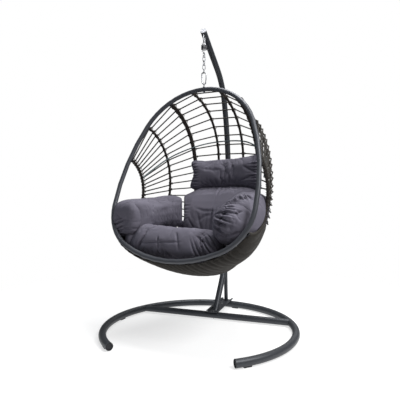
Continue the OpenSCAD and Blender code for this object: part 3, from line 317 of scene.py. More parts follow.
class Nodes:
    """A tree of nodes under construction"""

    def __init__(self, tree):
        self.tree = tree

    def put(self, holder, key, value):
        """Link a socket of a node, or set its value"""
        socket = holder.inputs[key]
        if isinstance(value, Socket):
            self.tree.links.new(value.socket, socket)
        elif hasattr(socket.default_value, "__len__") and len(socket.default_value) == 4:
            socket.default_value = (*value, 1)[:4]
        else:
            socket.default_value = value

    def node(self, kind, settings=None, values=None, output=0):
        node = self.tree.nodes.new(kind)
        for key, value in (settings or {}).items():
            setattr(node, key, value)
        for key, value in (values or {}).items():
            self.put(node, key, value)
        return Socket(self, node.outputs[output])


class Finish(Nodes):
    """A material under construction around one Principled shader"""

    # A mix node has sockets for each kind of value; these are its colour ones
    mix_share, mix_first, mix_second, mix_result = 0, 6, 7, 2

    def __init__(self, name, **sockets):
        self.material = bpy.data.materials.new(name)
        self.material.use_nodes = True
        super().__init__(self.material.node_tree)
        self.shader = self.tree.nodes["Principled BSDF"]
        self.set(**sockets)

    def set(self, **sockets):
        for key, value in sockets.items():
            self.put(self.shader, key.replace("_", " ").title().replace("Ior", "IOR"), value)

    def place(self, stretch=(1, 1, 1)):
        where = self.node("ShaderNodeTexCoord", output="Object")
        return self.node("ShaderNodeMapping", {}, {"Vector": where, "Scale": stretch})

    def grain(self, scale, detail=2, rough=0.5, where=None):
        return self.node(
            "ShaderNodeTexNoise", {},
            {"Vector": where or self.place(), "Scale": scale, "Detail": detail, "Roughness": rough},
        )

    def mixed(self, share, first, second):
        values = {self.mix_share: share, self.mix_first: first, self.mix_second: second}
        return self.node("ShaderNodeMix", {"data_type": "RGBA"}, values, self.mix_result)

    def bumps(self, height, distance, strength):
        self.set(
            normal=self.node(
                "ShaderNodeBump", {}, {"Height": height, "Distance": distance, "Strength": strength}
            )
        )


def toned(shade, times):
    """A colour made this many times as light, up to full"""
    return tuple(min(1.0, part * times) for part in shade)


def powder_coat(name, shade, roughness):
    """Satin powder coat: a fine orange peel, faint clouds, and dust in places"""
    coat = Finish(name, specular_ior_level=0.30)
    peel = coat.grain(650, detail=3)
    clouds = coat.grain(7, detail=3)
    dust = coat.grain(38, detail=5, rough=0.7).between(0.56, 0.80)
    paint = coat.mixed(clouds, toned(shade, 0.82), toned(shade, 1.22))
    coat.set(
        base_color=coat.mixed(dust * 0.12, paint, toned(shade, 2.1)),
        roughness=roughness + 0.08 * (clouds - 0.5) + 0.10 * dust,
    )
    coat.bumps(peel, distance=0.0003, strength=0.10)
    return coat.material


def plated_zinc(name, shade, roughness):
    """Plated wire: drawn lines, dull spots and a little tarnish"""
    zinc = Finish(name)
    spots = zinc.grain(120, detail=4, rough=0.6)
    tarnish = zinc.grain(28, detail=3).between(0.50, 0.74)
    lines = zinc.grain(900, where=zinc.place((1, 1, 0.15)))
    zinc.set(
        base_color=zinc.mixed(tarnish * 0.6, toned(shade, 1.15), toned(shade, 0.55)),
        metallic=1 - 0.35 * tarnish,
        roughness=roughness + 0.22 * tarnish + 0.12 * (spots - 0.5),
    )
    zinc.bumps(lines + 0.5 * spots, distance=0.0003, strength=0.3)
    return zinc.material


def moulded_plastic(name, shade, roughness):
    """Moulded plastic with a spark-eroded grain and scuffs"""
    plastic = Finish(name)
    pits = plastic.node(
        "ShaderNodeTexVoronoi", {"feature": "F1"}, {"Vector": plastic.place(), "Scale": 900}
    )
    scuffs = plastic.grain(60, detail=6, rough=0.7).between(0.55, 0.75)
    plastic.set(
        base_color=plastic.mixed(scuffs * 0.4, shade, toned(shade, 1.7)),
        roughness=roughness + 0.2 * scuffs,
    )
    plastic.bumps(pits, distance=0.0003, strength=0.4)
    return plastic.material


def resin_strand(name, shade):
    """Extruded resin strand: a waxy sheen, a fine grain, and darker and paler patches"""
    resin = Finish(name, specular_ior_level=0.06)
    patches = resin.grain(46, detail=3, rough=0.6).between(0.32, 0.70)
    fine = resin.grain(420, detail=4, rough=0.6)
    resin.set(
        base_color=resin.mixed(patches, toned(shade, 0.65), toned(shade, 1.75)),
        roughness=0.52 + 0.20 * (fine - 0.5),
    )
    resin.bumps(fine, distance=0.0005, strength=0.5)
    return resin.material


def linen_cloth(name, shade, thread):
    """Slubbed linen: warp and weft, thick slubs along both, pale threads in between, and painted
    shade in its creases and the hollows of its gathers
    """
    thread_pitch = 0.0016
    linen = Finish(name, sheen_weight=0.25, sheen_roughness=0.5, specular_ior_level=0.15)
    cloth = linen.node("ShaderNodeAttribute", {"attribute_name": "cloth"}, output="Vector")

    def streaky(across, up, **grain):
        stretch = {"Vector": cloth, "Scale": (across, up, 1)}
        return linen.grain(1, where=linen.node("ShaderNodeMapping", {}, stretch), **grain)

    over = linen.node("ShaderNodeSeparateXYZ", {}, {"Vector": cloth}, "X")
    up = over.beside("Y")
    turns = 2 * math.pi / thread_pitch
    wobble = linen.grain(26, where=cloth)
    warp = ((over * turns) + 3 * wobble).sine()
    weft = ((up * turns) + 3 * wobble).sine()
    weave = 0.5 + 0.25 * (warp + weft)
    weft_slubs = streaky(38, 620, detail=4, rough=0.65).between(0.52, 0.76)
    warp_slubs = streaky(620, 38, detail=4, rough=0.65).between(0.50, 0.74)
    streaks = streaky(120, 7, detail=3, rough=0.6).between(0.42, 0.70)
    slubs = (0.6 * weft_slubs).at_least(warp_slubs).at_least(streaks)
    worn = linen.grain(6, detail=3, where=cloth)
    dull = linen.mixed(worn, toned(shade, 0.70), toned(shade, 1.25))
    woven = linen.mixed(slubs * 0.85 + 0.10 * weave, dull, thread)
    # The seam attribute is painted shade: it darkens the linen in its creases and in the deeper
    # hollows of its gathers
    seam = linen.node("ShaderNodeAttribute", {"attribute_name": "seam"}, output="Fac")
    linen.set(
        base_color=linen.mixed((seam * 0.85).between(0.05, 1.0), woven, toned(shade, 0.12)),
        roughness=0.86 + 0.08 * (weave - 0.5),
    )
    linen.bumps(weave + 0.9 * slubs, distance=0.0006, strength=0.6)
    return linen.material


# ---- Meshes
def evaluated(holder):
    return bpy.data.meshes.new_from_object(
        holder.evaluated_get(bpy.context.evaluated_depsgraph_get())
    )


def mesh_of(bm, name):
    mesh = bpy.data.meshes.new(name)
    bm.to_mesh(mesh)
    bm.free()
    return mesh


def placed(name, data):
    """A new object in the scene"""
    thing = bpy.data.objects.new(name, data)
    bpy.context.scene.collection.objects.link(thing)
    return thing


def piece_of(mesh, name, body, slot):
    mesh.polygons.foreach_set("use_smooth", [True] * len(mesh.polygons))
    mesh.materials.clear()
    mesh.materials.append(coat_for(slot))
    piece = placed(name, mesh)
    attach(piece, body)
    return piece


def wires(name, lines, diameter, body, slot, looped=False, sides=4):
    """Round wires along lines of points, as one mesh"""
    curve = bpy.data.curves.new(name, "CURVE")
    curve.dimensions = "3D"
    curve.bevel_depth = diameter / 2
    curve.bevel_resolution = (sides - 4) // 2
    curve.use_fill_caps = not looped
    for line in lines:
        spline = curve.splines.new("POLY")
        spline.points.add(len(line) - 1)
        spline.points.foreach_set("co", [part for point in line for part in (*point, 1)])
        spline.use_cyclic_u = looped
        spline.use_smooth = True
    holder = placed(name, curve)
    bpy.context.view_layer.update()
    mesh = evaluated(holder)
    bpy.data.objects.remove(holder)
    bpy.data.curves.remove(curve)
    mesh.name = name
    bm = bmesh.new()
    bm.from_mesh(mesh)
    bmesh.ops.remove_doubles(bm, verts=bm.verts, dist=SAME_POINT)
    bmesh.ops.recalc_face_normals(bm, faces=bm.faces)
    bm.to_mesh(mesh)
    bm.free()
    return piece_of(mesh, name, body, slot)


# ---- Cushions
# The air in a cushion and the cloth round it, as the simulation's settings name them
CLOTH = {
    "quality": 4,
    "mass": 0.25,
    "tension_stiffness": 12,
    "compression_stiffness": 12,
    "shear_stiffness": 4,
    "bending_stiffness": 0.15,
    "use_pressure": True,
    "uniform_pressure_force": 4.0,
    "shrink_min": -0.05,
    "vertex_group_mass": "seam",
}
FILLING_FRAMES = 20
# Widths of a crease, or reaches of a gather, past which nothing of it is left
FADED = 3
# How far and how fast a gather's wave sways, and the height and rate of the second wave on it
SWAY, SWAY_RATE = 0.8, 0.37
SECOND, SECOND_RATE = 0.4, 1.9


def merged_copy(node):
    bm = bmesh.new()
    bm.from_mesh(bpy.data.objects[node].data)
    bmesh.ops.remove_doubles(bm, verts=bm.verts, dist=SAME_POINT)
    return bm


def filled(holder, on_seam, travel):
    """A mesh like the holder's, filled with air while its seam stays where it is"""
    scene = bpy.context.scene
    still = [vert.co.copy() for vert in holder.data.vertices]
    pins = holder.vertex_groups.new(name="seam")
    pins.add([vert.index for vert in holder.data.vertices if on_seam(vert.co)], 1, "REPLACE")
    cloth = holder.modifiers.new("cloth", "CLOTH")
    for key, value in CLOTH.items():
        setattr(cloth.settings, key, value)
    cloth.settings.effector_weights.gravity = 0
    cloth.collision_settings.use_self_collision = False
    cloth.point_cache.frame_start = 1
    cloth.point_cache.frame_end = FILLING_FRAMES
    for number in range(1, FILLING_FRAMES + 1):
        scene.frame_set(number)
    mesh = evaluated(holder)
    scene.frame_set(1)
    holder.modifiers.clear()
    for vert, home in zip(mesh.vertices, still):
        move = vert.co - home
        if move.length > travel:
            vert.co = home + move.normalized() * travel
    return mesh


def blown_up(node, sizes, on_seam, softened=0.35):
    """The cushion's mesh after a short cloth simulation that fills it with air"""
    bm = merged_copy(node)
    bm.normal_update()
    for vert in bm.verts:
        vert.co -= vert.normal * sizes.cloth_inset
    holder = placed(node + "_start", mesh_of(bm, node + "_start"))
    grid = holder.modifiers.new("grid", "REMESH")
    grid.mode = "VOXEL"
    grid.voxel_size = sizes.cloth_voxel
    gridded = evaluated(holder)
    holder.modifiers.clear()
    holder.data = gridded
    holder.data = filled(holder, on_seam, sizes.cloth_travel)
    finer = holder.modifiers.new("finer", "SUBSURF")
    finer.levels = finer.render_levels = 1
    result = evaluated(holder)
    bpy.data.objects.remove(holder)
    bm = bmesh.new()
    bm.from_mesh(result)
    bmesh.ops.smooth_vert(
        bm, verts=bm.verts, factor=softened, use_axis_x=True, use_axis_y=True, use_axis_z=True
    )
    return bm


def near_line(point, line):
    """Distance from a point to a line of points, and how far along the line it lies"""
    best = (math.inf, 0.0)
    done = 0.0
    for a, b in zip(line, line[1:]):
        reach = b - a
        t = max(0.0, min(1.0, (point - a).dot(reach) / reach.length_squared))
        gap = (point - a - t * reach).length
        if gap < best[0]:
            best = (gap, done + t * reach.length)
        done += reach.length
    return best


def painted_shade_layer(bm):
    """The layer of painted shade, which says how deep in a seam, a crease or the hollow of a gather
    each point of the cloth lies
    """
    return bm.verts.layers.float.get("seam") or bm.verts.layers.float.new("seam")


def pressed(bm, line, width, depth, rise=4, least=0.15, core=0.7):
    """A sewn crease: the cloth is drawn in along a line of points on its surface, and painted shade
    darkens it along that line
    """
    whole = sum((b - a).length for a, b in zip(line, line[1:]))
    painted_shade = painted_shade_layer(bm)
    bm.normal_update()
    for vert in bm.verts:
        gap, place = near_line(vert.co, line)
        if gap < FADED * width:
            # Shallow at its ends, and full from about a fifth of its length
            fade = min(1.0, rise * min(place, whole - place) / whole + least)
            vert.co -= vert.normal * depth * fade * math.exp(-((gap / width) ** 2))
            # Painted shade along the crease, narrower than the crease itself
            vert[painted_shade] = max(vert[painted_shade], fade * math.exp(-((gap / (core * width)) ** 2)))


def gathered(bm, line, reach, pitch, depth, seed, dark=0.7, shallow=0.3):
    """Gathers that stand across a sewn line and fade with the distance from it, with painted shade
    in their deeper hollows
    """
    shift = random.Random(seed).uniform(0, 2 * math.pi)
    painted_shade = painted_shade_layer(bm)
    bm.normal_update()
    moves = []
    for vert in bm.verts:
        gap, place = near_line(vert.co, line)
        if gap < FADED * reach:
            turn = 2 * math.pi * place / pitch
            sway = SWAY * math.sin(SWAY_RATE * turn)
            wave = math.sin(turn + shift + sway) + SECOND * math.sin(SECOND_RATE * turn)
            fade = math.exp(-((gap / reach) ** 2))
            moves.append((vert, vert.normal * depth * wave * fade))
            # Painted shade in the deeper hollows of the gathers
            vert[painted_shade] = max(vert[painted_shade], dark * fade * max(0.0, -wave - shallow))
    for vert, move in moves:
        vert.co += move


def cloth_places(bm, middle, ahead, up, flatness=0.75):
    """Where each point lies on the cloth, along the cushion and round it, for the weave"""
    layer = bm.verts.layers.float_vector.new("cloth")
    out = ahead.cross(up)
    offsets = [vert.co - middle for vert in bm.verts]
    mean_radius = flatness * max((offset - offset.dot(ahead) * ahead).length for offset in offsets)
    for vert, offset in zip(bm.verts, offsets):
        angle = math.atan2(offset.dot(out), offset.dot(up))
        vert[layer] = (offset.dot(ahead), angle * mean_radius, 0)


# ---- Coats of the frame
# The frame's triangles are joined where their corners are this near, and an edge that bends less
# than this is shaded round
JOINED = 2e-6
ROUND = math.radians(36)


def coat_for(slot):
    """The material of a slot of the record, made once"""
    made = bpy.data.materials.get(slot)
    if made:
        return made
    shades = bpy.context.scene.chair_colours
    recipes = {
        "stand_coat": (powder_coat, shades.stand, 0.24),
        "rim_coat": (powder_coat, shades.rim, 0.24),
        "rib_coat": (powder_coat, shades.ribs, 0.32),
        "hoop_coat": (powder_coat, shades.hoop, 0.38),
        "plug_plastic": (moulded_plastic, shades.plugs, 0.55),
        "cap_plastic": (moulded_plastic, shades.cap, 0.45),
        "zinc": (plated_zinc, shades.zinc, 0.32),
        "spring_steel": (plated_zinc, shades.spring, 0.40),
        "wicker": (resin_strand, shades.wicker),
        "linen": (linen_cloth, shades.linen, shades.linen_thread),
    }
    if slot not in recipes:
        raise RuntimeError(f"there is no coat for the slot {slot}")
    recipe, *values = recipes[slot]
    return recipe(slot, *values)


def smoothing():
    """A modifier's tree that joins the loose triangles and shades round faces smooth"""
    group = bpy.data.node_groups.new("shade_round_faces", "GeometryNodeTree")
    for way in ("INPUT", "OUTPUT"):
        group.interface.new_socket("Geometry", in_out=way, socket_type="NodeSocketGeometry")
    made = Nodes(group)
    loose = made.node("NodeGroupInput")
    solid = made.node("GeometryNodeMergeByDistance", {}, {"Geometry": loose, "Distance": JOINED})
    smooth = made.node("GeometryNodeSetShadeSmooth", {"domain": "FACE"}, {"Geometry": solid})
    bend = made.node("GeometryNodeInputMeshEdgeAngle")
    sharp = made.node("FunctionNodeCompare", {"operation": "GREATER_THAN"}, {0: bend, 1: ROUND})
    values = {"Geometry": smooth, "Selection": sharp, "Shade Smooth": False}
    edged = made.node("GeometryNodeSetShadeSmooth", {"domain": "EDGE"}, values)
    made.put(group.nodes.new("NodeGroupOutput"), 0, edged)
    return group


class CHAIR_OT_coats(bpy.types.Operator):
    """Give each part of the frame its coat, and shade its round faces smooth"""

    bl_idname = "chair.coats"
    bl_label = "Coats"

    def execute(self, context):
        group = smoothing()
        for row in frame["record"]["subparts"]:
            part = frame["nodes"][row["node"]]
            part.data.materials.clear()
            part.data.materials.append(coat_for(row["material_slot"]))
            part.modifiers.new("smooth", "NODES").node_group = group
        return {"FINISHED"}


# ---- Shapes of the cushions and lines laid over the ribs
def middle_of(bm):
    return sum((vert.co for vert in bm.verts), Vector()) / len(bm.verts)


def main_axes(bm, guess=(1, 0.3, 0.2), rounds=200):
    """Middle of a cushion, and its two longest directions, each turned from a guess"""
    middle = middle_of(bm)
    spread = Matrix(((0, 0, 0), (0, 0, 0), (0, 0, 0)))
    for vert in bm.verts:
        offset = vert.co - middle
        for i in range(3):
            for j in range(3):
                spread[i][j] += offset[i] * offset[j]
    spread = spread * (1 / len(bm.verts))
    found = []
    for _ in range(2):
        axis = Vector(guess)
        for other in found:
            axis -= axis.dot(other) * other
        for _ in range(rounds):
            axis = spread @ axis
            for other in found:
                axis -= axis.dot(other) * other
            axis.normalize()
        found.append(axis)
    return middle, *found


def through(points, steps):
    """A smooth line through points, each stretch cut into steps"""
    gaps = [(b - a).length for a, b in zip(points, points[1:])]
    ways = [(b - a) / gap for a, b, gap in zip(points, points[1:], gaps)]
    slopes = [ways[0]]
    for i in range(1, len(gaps)):
        slopes.append((ways[i - 1] * gaps[i] + ways[i] * gaps[i - 1]) / (gaps[i] + gaps[i - 1]))
    slopes.append(ways[-1])
    line = [points[0].copy()]
    for i, gap in enumerate(gaps):
        for step in range(1, steps[i] + 1):
            t = step / steps[i]
            line.append(
                (2 * t**3 - 3 * t**2 + 1) * points[i]
                + (t**3 - 2 * t**2 + t) * gap * slopes[i]
                + (3 * t**2 - 2 * t**3) * points[i + 1]
                + (t**3 - t**2) * gap * slopes[i + 1]
            )
    return line


def round_tube(middle, reach, first, second, turns):
    """Points round a tube, from the first direction towards the second"""
    return [middle + reach * (math.cos(turn) * first + math.sin(turn) * second) for turn in turns]


def outward(line, seats):
    """Outward directions along a line that is laid over the ribs"""
    found = []
    for i in range(len(line)):
        ahead = (line[min(len(line) - 1, i + 1)] - line[max(0, i - 1)]).normalized()
        share = i / (len(line) - 1) * (len(seats) - 1)
        low = min(int(share), len(seats) - 2)
        normal = seats[low][2].lerp(seats[low + 1][2], share - low)
        normal -= normal.dot(ahead) * ahead
        found.append(normal.normalized())
    return found


# The sewn edge of the right arm cushion, a line in pixels of the view
ARM_EDGE = ((215, 243), (219, 226), (225, 209), (234, 199), (250, 196))
# Lines in pixels of the view, each with the width and the depth of its crease in metres
CREASES = {
    "front_bolster": (
        (((138, 243), (150, 242.5), (160, 242), (181, 242)), 0.0060, 0.008),
        (((148, 228), (142, 237), (136.5, 249)), 0.0100, 0.018),
        (((157.5, 236), (157, 242), (158, 249)), 0.0060, 0.010),
        (((176, 232), (177, 241), (178.5, 251)), 0.0070, 0.007),
        (((196, 236), (202, 240), (208, 245)), 0.0070, 0.011),
    ),
    "arm_cushion_left": (
        (((181, 199.5), (181.5, 212), (182, 223)), 0.0060, 0.005),
        (((119, 208), (126, 203), (138, 199.5), (156, 198.5)), 0.0060, 0.004),
        (((120, 226), (128, 229), (138, 229)), 0.0080, 0.008),
        (((121, 233), (129, 238), (136, 240)), 0.0080, 0.009),
    ),
    "arm_cushion_right": (
        (ARM_EDGE, 0.0065, 0.009),
        (((221, 235), (230, 236), (240, 232)), 0.0080, 0.010),
        (((227, 212), (236, 213), (243, 211)), 0.0075, 0.009),
    ),
    "head_pillow": (
        (((243, 166), (250, 170), (256, 172)), 0.0080, 0.008),
        (((240, 181), (249, 177), (256, 174)), 0.0080, 0.008),
        (((200, 168), (212, 170), (224, 169)), 0.0110, 0.004),
    ),
    "back_cushion": (
        (((187, 197), (200, 189.5), (220, 186.5), (243, 189)), 0.0065, 0.005),
        (((193, 207), (204, 211), (216, 211)), 0.0120, 0.004),
        (((196, 222), (205, 216), (214, 214)), 0.0120, 0.004),
    ),
}
# Sewn lines in pixels, each with the reach, the pitch and the depth of its gathers in metres
GATHERS = {
    "front_bolster": (
        (((214, 240), (204, 247), (193, 252)), 0.045, 0.024, 0.0075),
        (((137, 249), (148, 252), (170, 254)), 0.022, 0.034, 0.0040),
    ),
    "arm_cushion_left": ((((117, 220), (122, 234), (131, 246)), 0.040, 0.026, 0.0065),),
    "arm_cushion_right": ((ARM_EDGE, 0.050, 0.030, 0.0095),),
    "head_pillow": (
        (((257, 160), (258, 173), (257, 188)), 0.045, 0.021, 0.0065),
        (((194.5, 162), (194.5, 186)), 0.025, 0.021, 0.0035),
    ),
    "back_cushion": ((((183, 201), (183, 222)), 0.030, 0.024, 0.0030),),
}
# Each cushion's fill, how much farther out its cloth stands than the simulation leaves it, in
# metres, and its share of the way from round to a box with round corners
CUSHIONS = {
    "back_cushion": (0.7, 0.008, 0.12),
    "seat_pad": (0.65, 0.004, 0.3),
    "arm_cushion_left": (0.7, 0.016, 0.75),
    "arm_cushion_right": (0.7, 0.012, 0.35),
    "front_bolster": (0.8, 0.010, 0.35),
    "head_pillow": (0.75, 0.006, 0.55),
}
# Parts of a cushion that are moved: where, how far around it, and the way it goes, in metres
MOVES = {
    "back_cushion": (
        ((0.02, 0.27, -0.66), 0.17, (0.0, 0.004, 0.034)),
        ((-0.28, 0.25, -0.66), 0.09, (0.012, 0.0, -0.030)),
    ),
    "head_pillow": (
        ((0.27, 0.27, -0.46), 0.06, (0.006, 0.0, 0.014)),
        ((-0.22, 0.24, -0.63), 0.07, (-0.002, -0.004, -0.014)),
        ((0.26, 0.23, -0.66), 0.08, (0.004, -0.004, -0.012)),
        ((0.02, 0.25, -0.65), 0.12, (0.0, -0.006, -0.012)),
        ((-0.23, 0.27, -0.55), 0.12, (0.018, 0.0, 0.0)),
        ((-0.18, 0.29, -0.46), 0.11, (0.0, 0.0, -0.028)),
    ),
    "arm_cushion_left": (
        ((-0.44, -0.27, -0.84), 0.13, (-0.004, -0.016, -0.040)),
        ((-0.40, -0.08, -0.73), 0.17, (0.0, 0.0, -0.032)),
    ),
    "front_bolster": (((-0.30, -0.34, -0.98), 0.09, (-0.020, 0.0, -0.012)),),
    "seat_pad": (((-0.22, 0.06, -0.90), 0.10, (0.0, 0.010, 0.028)),),
    "arm_cushion_right": (((0.30, -0.05, -0.70), 0.12, (-0.012, 0.0, 0.008)),),
}
# A cushion stops at a plane through the eye and a column of pixels: the column and its side, the
# rows that give the plane, the row below which the cushion goes on, and how soft its end is
ENDS = {"arm_cushion_left": (182.4, -1), "back_cushion": (184.0, 1)}
END_ROWS = (212, 150)
LOWEST_END = 221
SOFT_END = 0.012
# How near a cushion is pressed by its neighbour, and the gap that stays between the two
PRESSED_WITHIN = 0.09
CLOTH_GAP = 0.0008


class View:
    """The camera: where it stands, and the way through each pixel of its square view"""

    size = 400
    place = Vector((0.9954, -2.8234, 0.9556))
    ahead = Vector((-0.32302, 0.94583, 0.03272)).normalized()
    right = ahead.cross(Vector((0, 0, 1))).normalized()
    up = right.cross(ahead)
    focal = 455.6
    middle = (208.48, 165.72)

    @classmethod
    def way(cls, x, y):
        across = (x - cls.middle[0]) / cls.focal
        down = (y - cls.middle[1]) / cls.focal
        return (cls.ahead + across * cls.right - down * cls.up).normalized()

    @classmethod
    def row(cls, point):
        """The row of pixels that a point is seen in"""
        offset = point - cls.place
        return cls.middle[1] - cls.focal * offset.dot(cls.up) / offset.dot(cls.ahead)


def traced(bm, line, steps=6, least=0.001):
    """A line of pixels laid on a cushion's surface, with points no nearer than the least gap"""
    tree = BVHTree.FromBMesh(bm)
    middle = middle_of(bm)
    points = []
    for (x0, y0), (x1, y1) in zip(line, line[1:]):
        for step in range(steps + 1):
            t = step / steps
            way = View.way(x0 + t * (x1 - x0), y0 + t * (y1 - y0))
            hit = tree.ray_cast(View.place, way)[0]
            if hit is None:
                depth = (middle - View.place).dot(way)
                hit = tree.find_nearest(View.place + depth * way)[0]
            if not points or (hit - points[-1]).length > least:
                points.append(hit)
    return points


class Shell:
    """The inside of the basket's ribs, which the cushions press against but don't pass"""

    clear = 0.0015
    reach = 0.08
    rows = 64
    first, span = 0.06, 0.93
    steps = (4, 6, 6, 10, 6, 6, 4)

    def __init__(self, basket):
        self.tree = KDTree(self.rows * (sum(self.steps) + 1))
        self.normals = []
        for row in range(self.rows):
            share = self.first + self.span * row / (self.rows - 1)
            seats = basket.seats([share] * len(basket.rib_d), self.clear, side=-1)
            line = through([seat[0] for seat in seats], self.steps)
            for point, normal in zip(line, outward(line, seats)):
                self.tree.insert(basket.place(point), len(self.normals))
                self.normals.append(basket.turn.to_3x3() @ normal)
        self.tree.balance()

    def hold(self, bm):
        for vert in bm.verts:
            point, index, gap = self.tree.find(vert.co)
            past = (vert.co - point).dot(self.normals[index])
            if past > 0 and gap < self.reach:
                vert.co -= past * self.normals[index]


def squared(bm, middle, axes, share, power=5, fullest=0.8):
    """Take a round cushion part of the way to a box with round corners"""
    half = [max(abs((vert.co - middle).dot(axis)) for vert in bm.verts) for axis in axes]
    for vert in bm.verts:
        offset = vert.co - middle
        place = [abs(offset.dot(axis)) / size for axis, size in zip(axes, half)]
        plain = math.sqrt(sum(part**2 for part in place))
        boxed = sum(part**power for part in place) ** (1 / power)
        if plain > SAME_POINT:
            vert.co = middle + offset * (1 + share * fullest * (plain / boxed - 1))


def moved(bm, basket, place, reach, way):
    """Pull part of a cushion along, fading with the distance from its place"""
    centre = basket.place(place)
    way = basket.turn.to_3x3() @ Vector(way)
    for vert in bm.verts:
        vert.co += way * math.exp(-(((vert.co - centre).length / reach) ** 2))


def stopped(bm, column, side):
    """Flatten the end of a cushion at the plane through the eye and a column of pixels"""
    low, high = (View.way(column, row) for row in END_ROWS)
    plane = low.cross(high).normalized()
    if plane.x < 0:
        plane = -plane
    for vert in bm.verts:
        past = -side * (vert.co - View.place).dot(plane)
        if past > -SOFT_END and View.row(vert.co) < LOWEST_END:
            soft = -SOFT_END * math.exp(-(past + SOFT_END) / SOFT_END)
            vert.co += side * (past - soft) * plane


def pressed_by(bm, trees):
    """Keep a cushion's cloth outside the cushions that lie against it"""
    for tree in trees:
        for vert in bm.verts:
            hit, normal, _, _ = tree.find_nearest(vert.co, PRESSED_WITHIN)
            if hit is not None and (vert.co - hit).dot(normal) < CLOTH_GAP:
                vert.co = hit + CLOTH_GAP * normal


# ---- The new pieces, and the stage
class CHAIR_OT_cushions(bpy.types.Operator):
    """Blow up the six linen cushions, draw in their seams, creases and gathers, and paint shade
    into the creases and the hollows of the gathers
    """

    bl_idname = "chair.cushions"
    bl_label = "Cushions"

    seam_width = 0.004

    def execute(self, context):
        sizes = context.scene.chair_sizes
        basket = Basket(sizes)
        shell = Shell(basket)
        trees = []
        for number, (node, (fill, fuller, square)) in enumerate(CUSHIONS.items()):
            start = merged_copy(node)
            middle, ahead, up = main_axes(start)
            start.free()
            out = ahead.cross(up)

            def on_seam(point, middle=middle, out=out):
                return abs((point - middle).dot(out)) < self.seam_width

            bm = blown_up(node, sizes, on_seam)
            bm.normal_update()
            for vert in bm.verts:
                vert.co += vert.normal * fuller
            squared(bm, middle, (ahead, up, out), square)
            for place, reach, way in MOVES.get(node, ()):
                moved(bm, basket, place, reach, way)
            if node in ENDS:
                stopped(bm, *ENDS[node])
            shell.hold(bm)
            pressed_by(bm, trees)
            creases, gathers = (
                [(traced(bm, line), *size) for line, *size in table.get(node, ())]
                for table in (CREASES, GATHERS)
            )
            for crease in creases:
                pressed(bm, *crease)
            for gather in gathers:
                gathered(bm, *gather, seed=number)
            shell.hold(bm)
            pressed_by(bm, trees)
            bmesh.ops.recalc_face_normals(bm, faces=bm.faces)
            trees.append(BVHTree.FromBMesh(bm))
            cloth_places(bm, middle, ahead, up)
            mesh = mesh_of(bm, node + "_linen")
            piece = piece_of(mesh, node + "_linen", "basket", "linen")
            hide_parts(node)
        return {"FINISHED"}


class CHAIR_OT_bowl(bpy.types.Operator):
    """Weave the bowl: strands that pass over and under stakes, and turn round the side ribs"""

    bl_idname = "chair.bowl"
    bl_label = "Wicker bowl"

    setback = (0.022, 0.014, 0.012, 0.012)
    off_rib = 0.0058
    off_side_rib = 0.0042
    wave_height = 0.0030
    stake_diameter = 0.0045
    slack = 1.12
    steps = 4
    end_turns = (35, 65, 95, 125, 150)

    def execute(self, context):
        sizes = context.scene.chair_sizes
        basket = Basket(sizes)
        first = basket.rod_share(sizes.open_rods + 1)
        last = [1 - self.setback[k] / basket.lengths[k] for k in range(4)]
        rows = int((1 - first) * basket.lengths[CENTRE] / sizes.strand_pitch)
        across = [hand * basket.rib_x[k] for k, hand in basket.order]
        gaps = [b - a for a, b in zip(across, across[1:])]
        cells = [max(1, round(gap * self.slack / sizes.stake_pitch)) for gap in gaps]
        strands = []
        stakes = [[] for _ in range(sum(cells) + 1)]
        for row in range(rows + 1):
            share = [first + (row / rows) * (last[k] - first) for k in range(4)]
            seats = basket.seats(share, self.off_rib)
            middle = through([seat[0] for seat in seats], [cell * self.steps for cell in cells])
            woven = []
            for i, (point, normal) in enumerate(zip(middle, outward(middle, seats))):
                wave = math.cos(math.pi * i / self.steps) * (1 if row % 2 else -1)
                woven.append(point + normal * wave * self.wave_height)
            for column, stake in enumerate(stakes):
                stake.append(basket.place(middle[column * self.steps]))
            left, right = (self.turned(basket, share[SIDE], hand) for hand in (-1, 1))
            strands.append([basket.place(point) for point in (*left[::-1], *woven, *right)])
        half = len(strands) // 2
        for name, lines, diameter in (
            ("wicker_upper_strands", strands[:half], sizes.strand_diameter),
            ("wicker_lower_strands", strands[half:], sizes.strand_diameter),
            ("wicker_stakes", stakes, self.stake_diameter),
        ):
            piece = wires(name, lines, diameter, "basket", "wicker")
            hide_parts("wicker_bowl")
        return {"FINISHED"}

    def turned(self, basket, share, hand):
        """The end of a strand, laid round the outside of a side rib"""
        here, _, normal = basket.beside_rib(SIDE, hand, share, 0)
        reach = basket.rib_d[SIDE] / 2 + self.off_side_rib
        turns = map(math.radians, self.end_turns)
        return round_tube(here, reach, normal, Vector((hand, 0, 0)), turns)


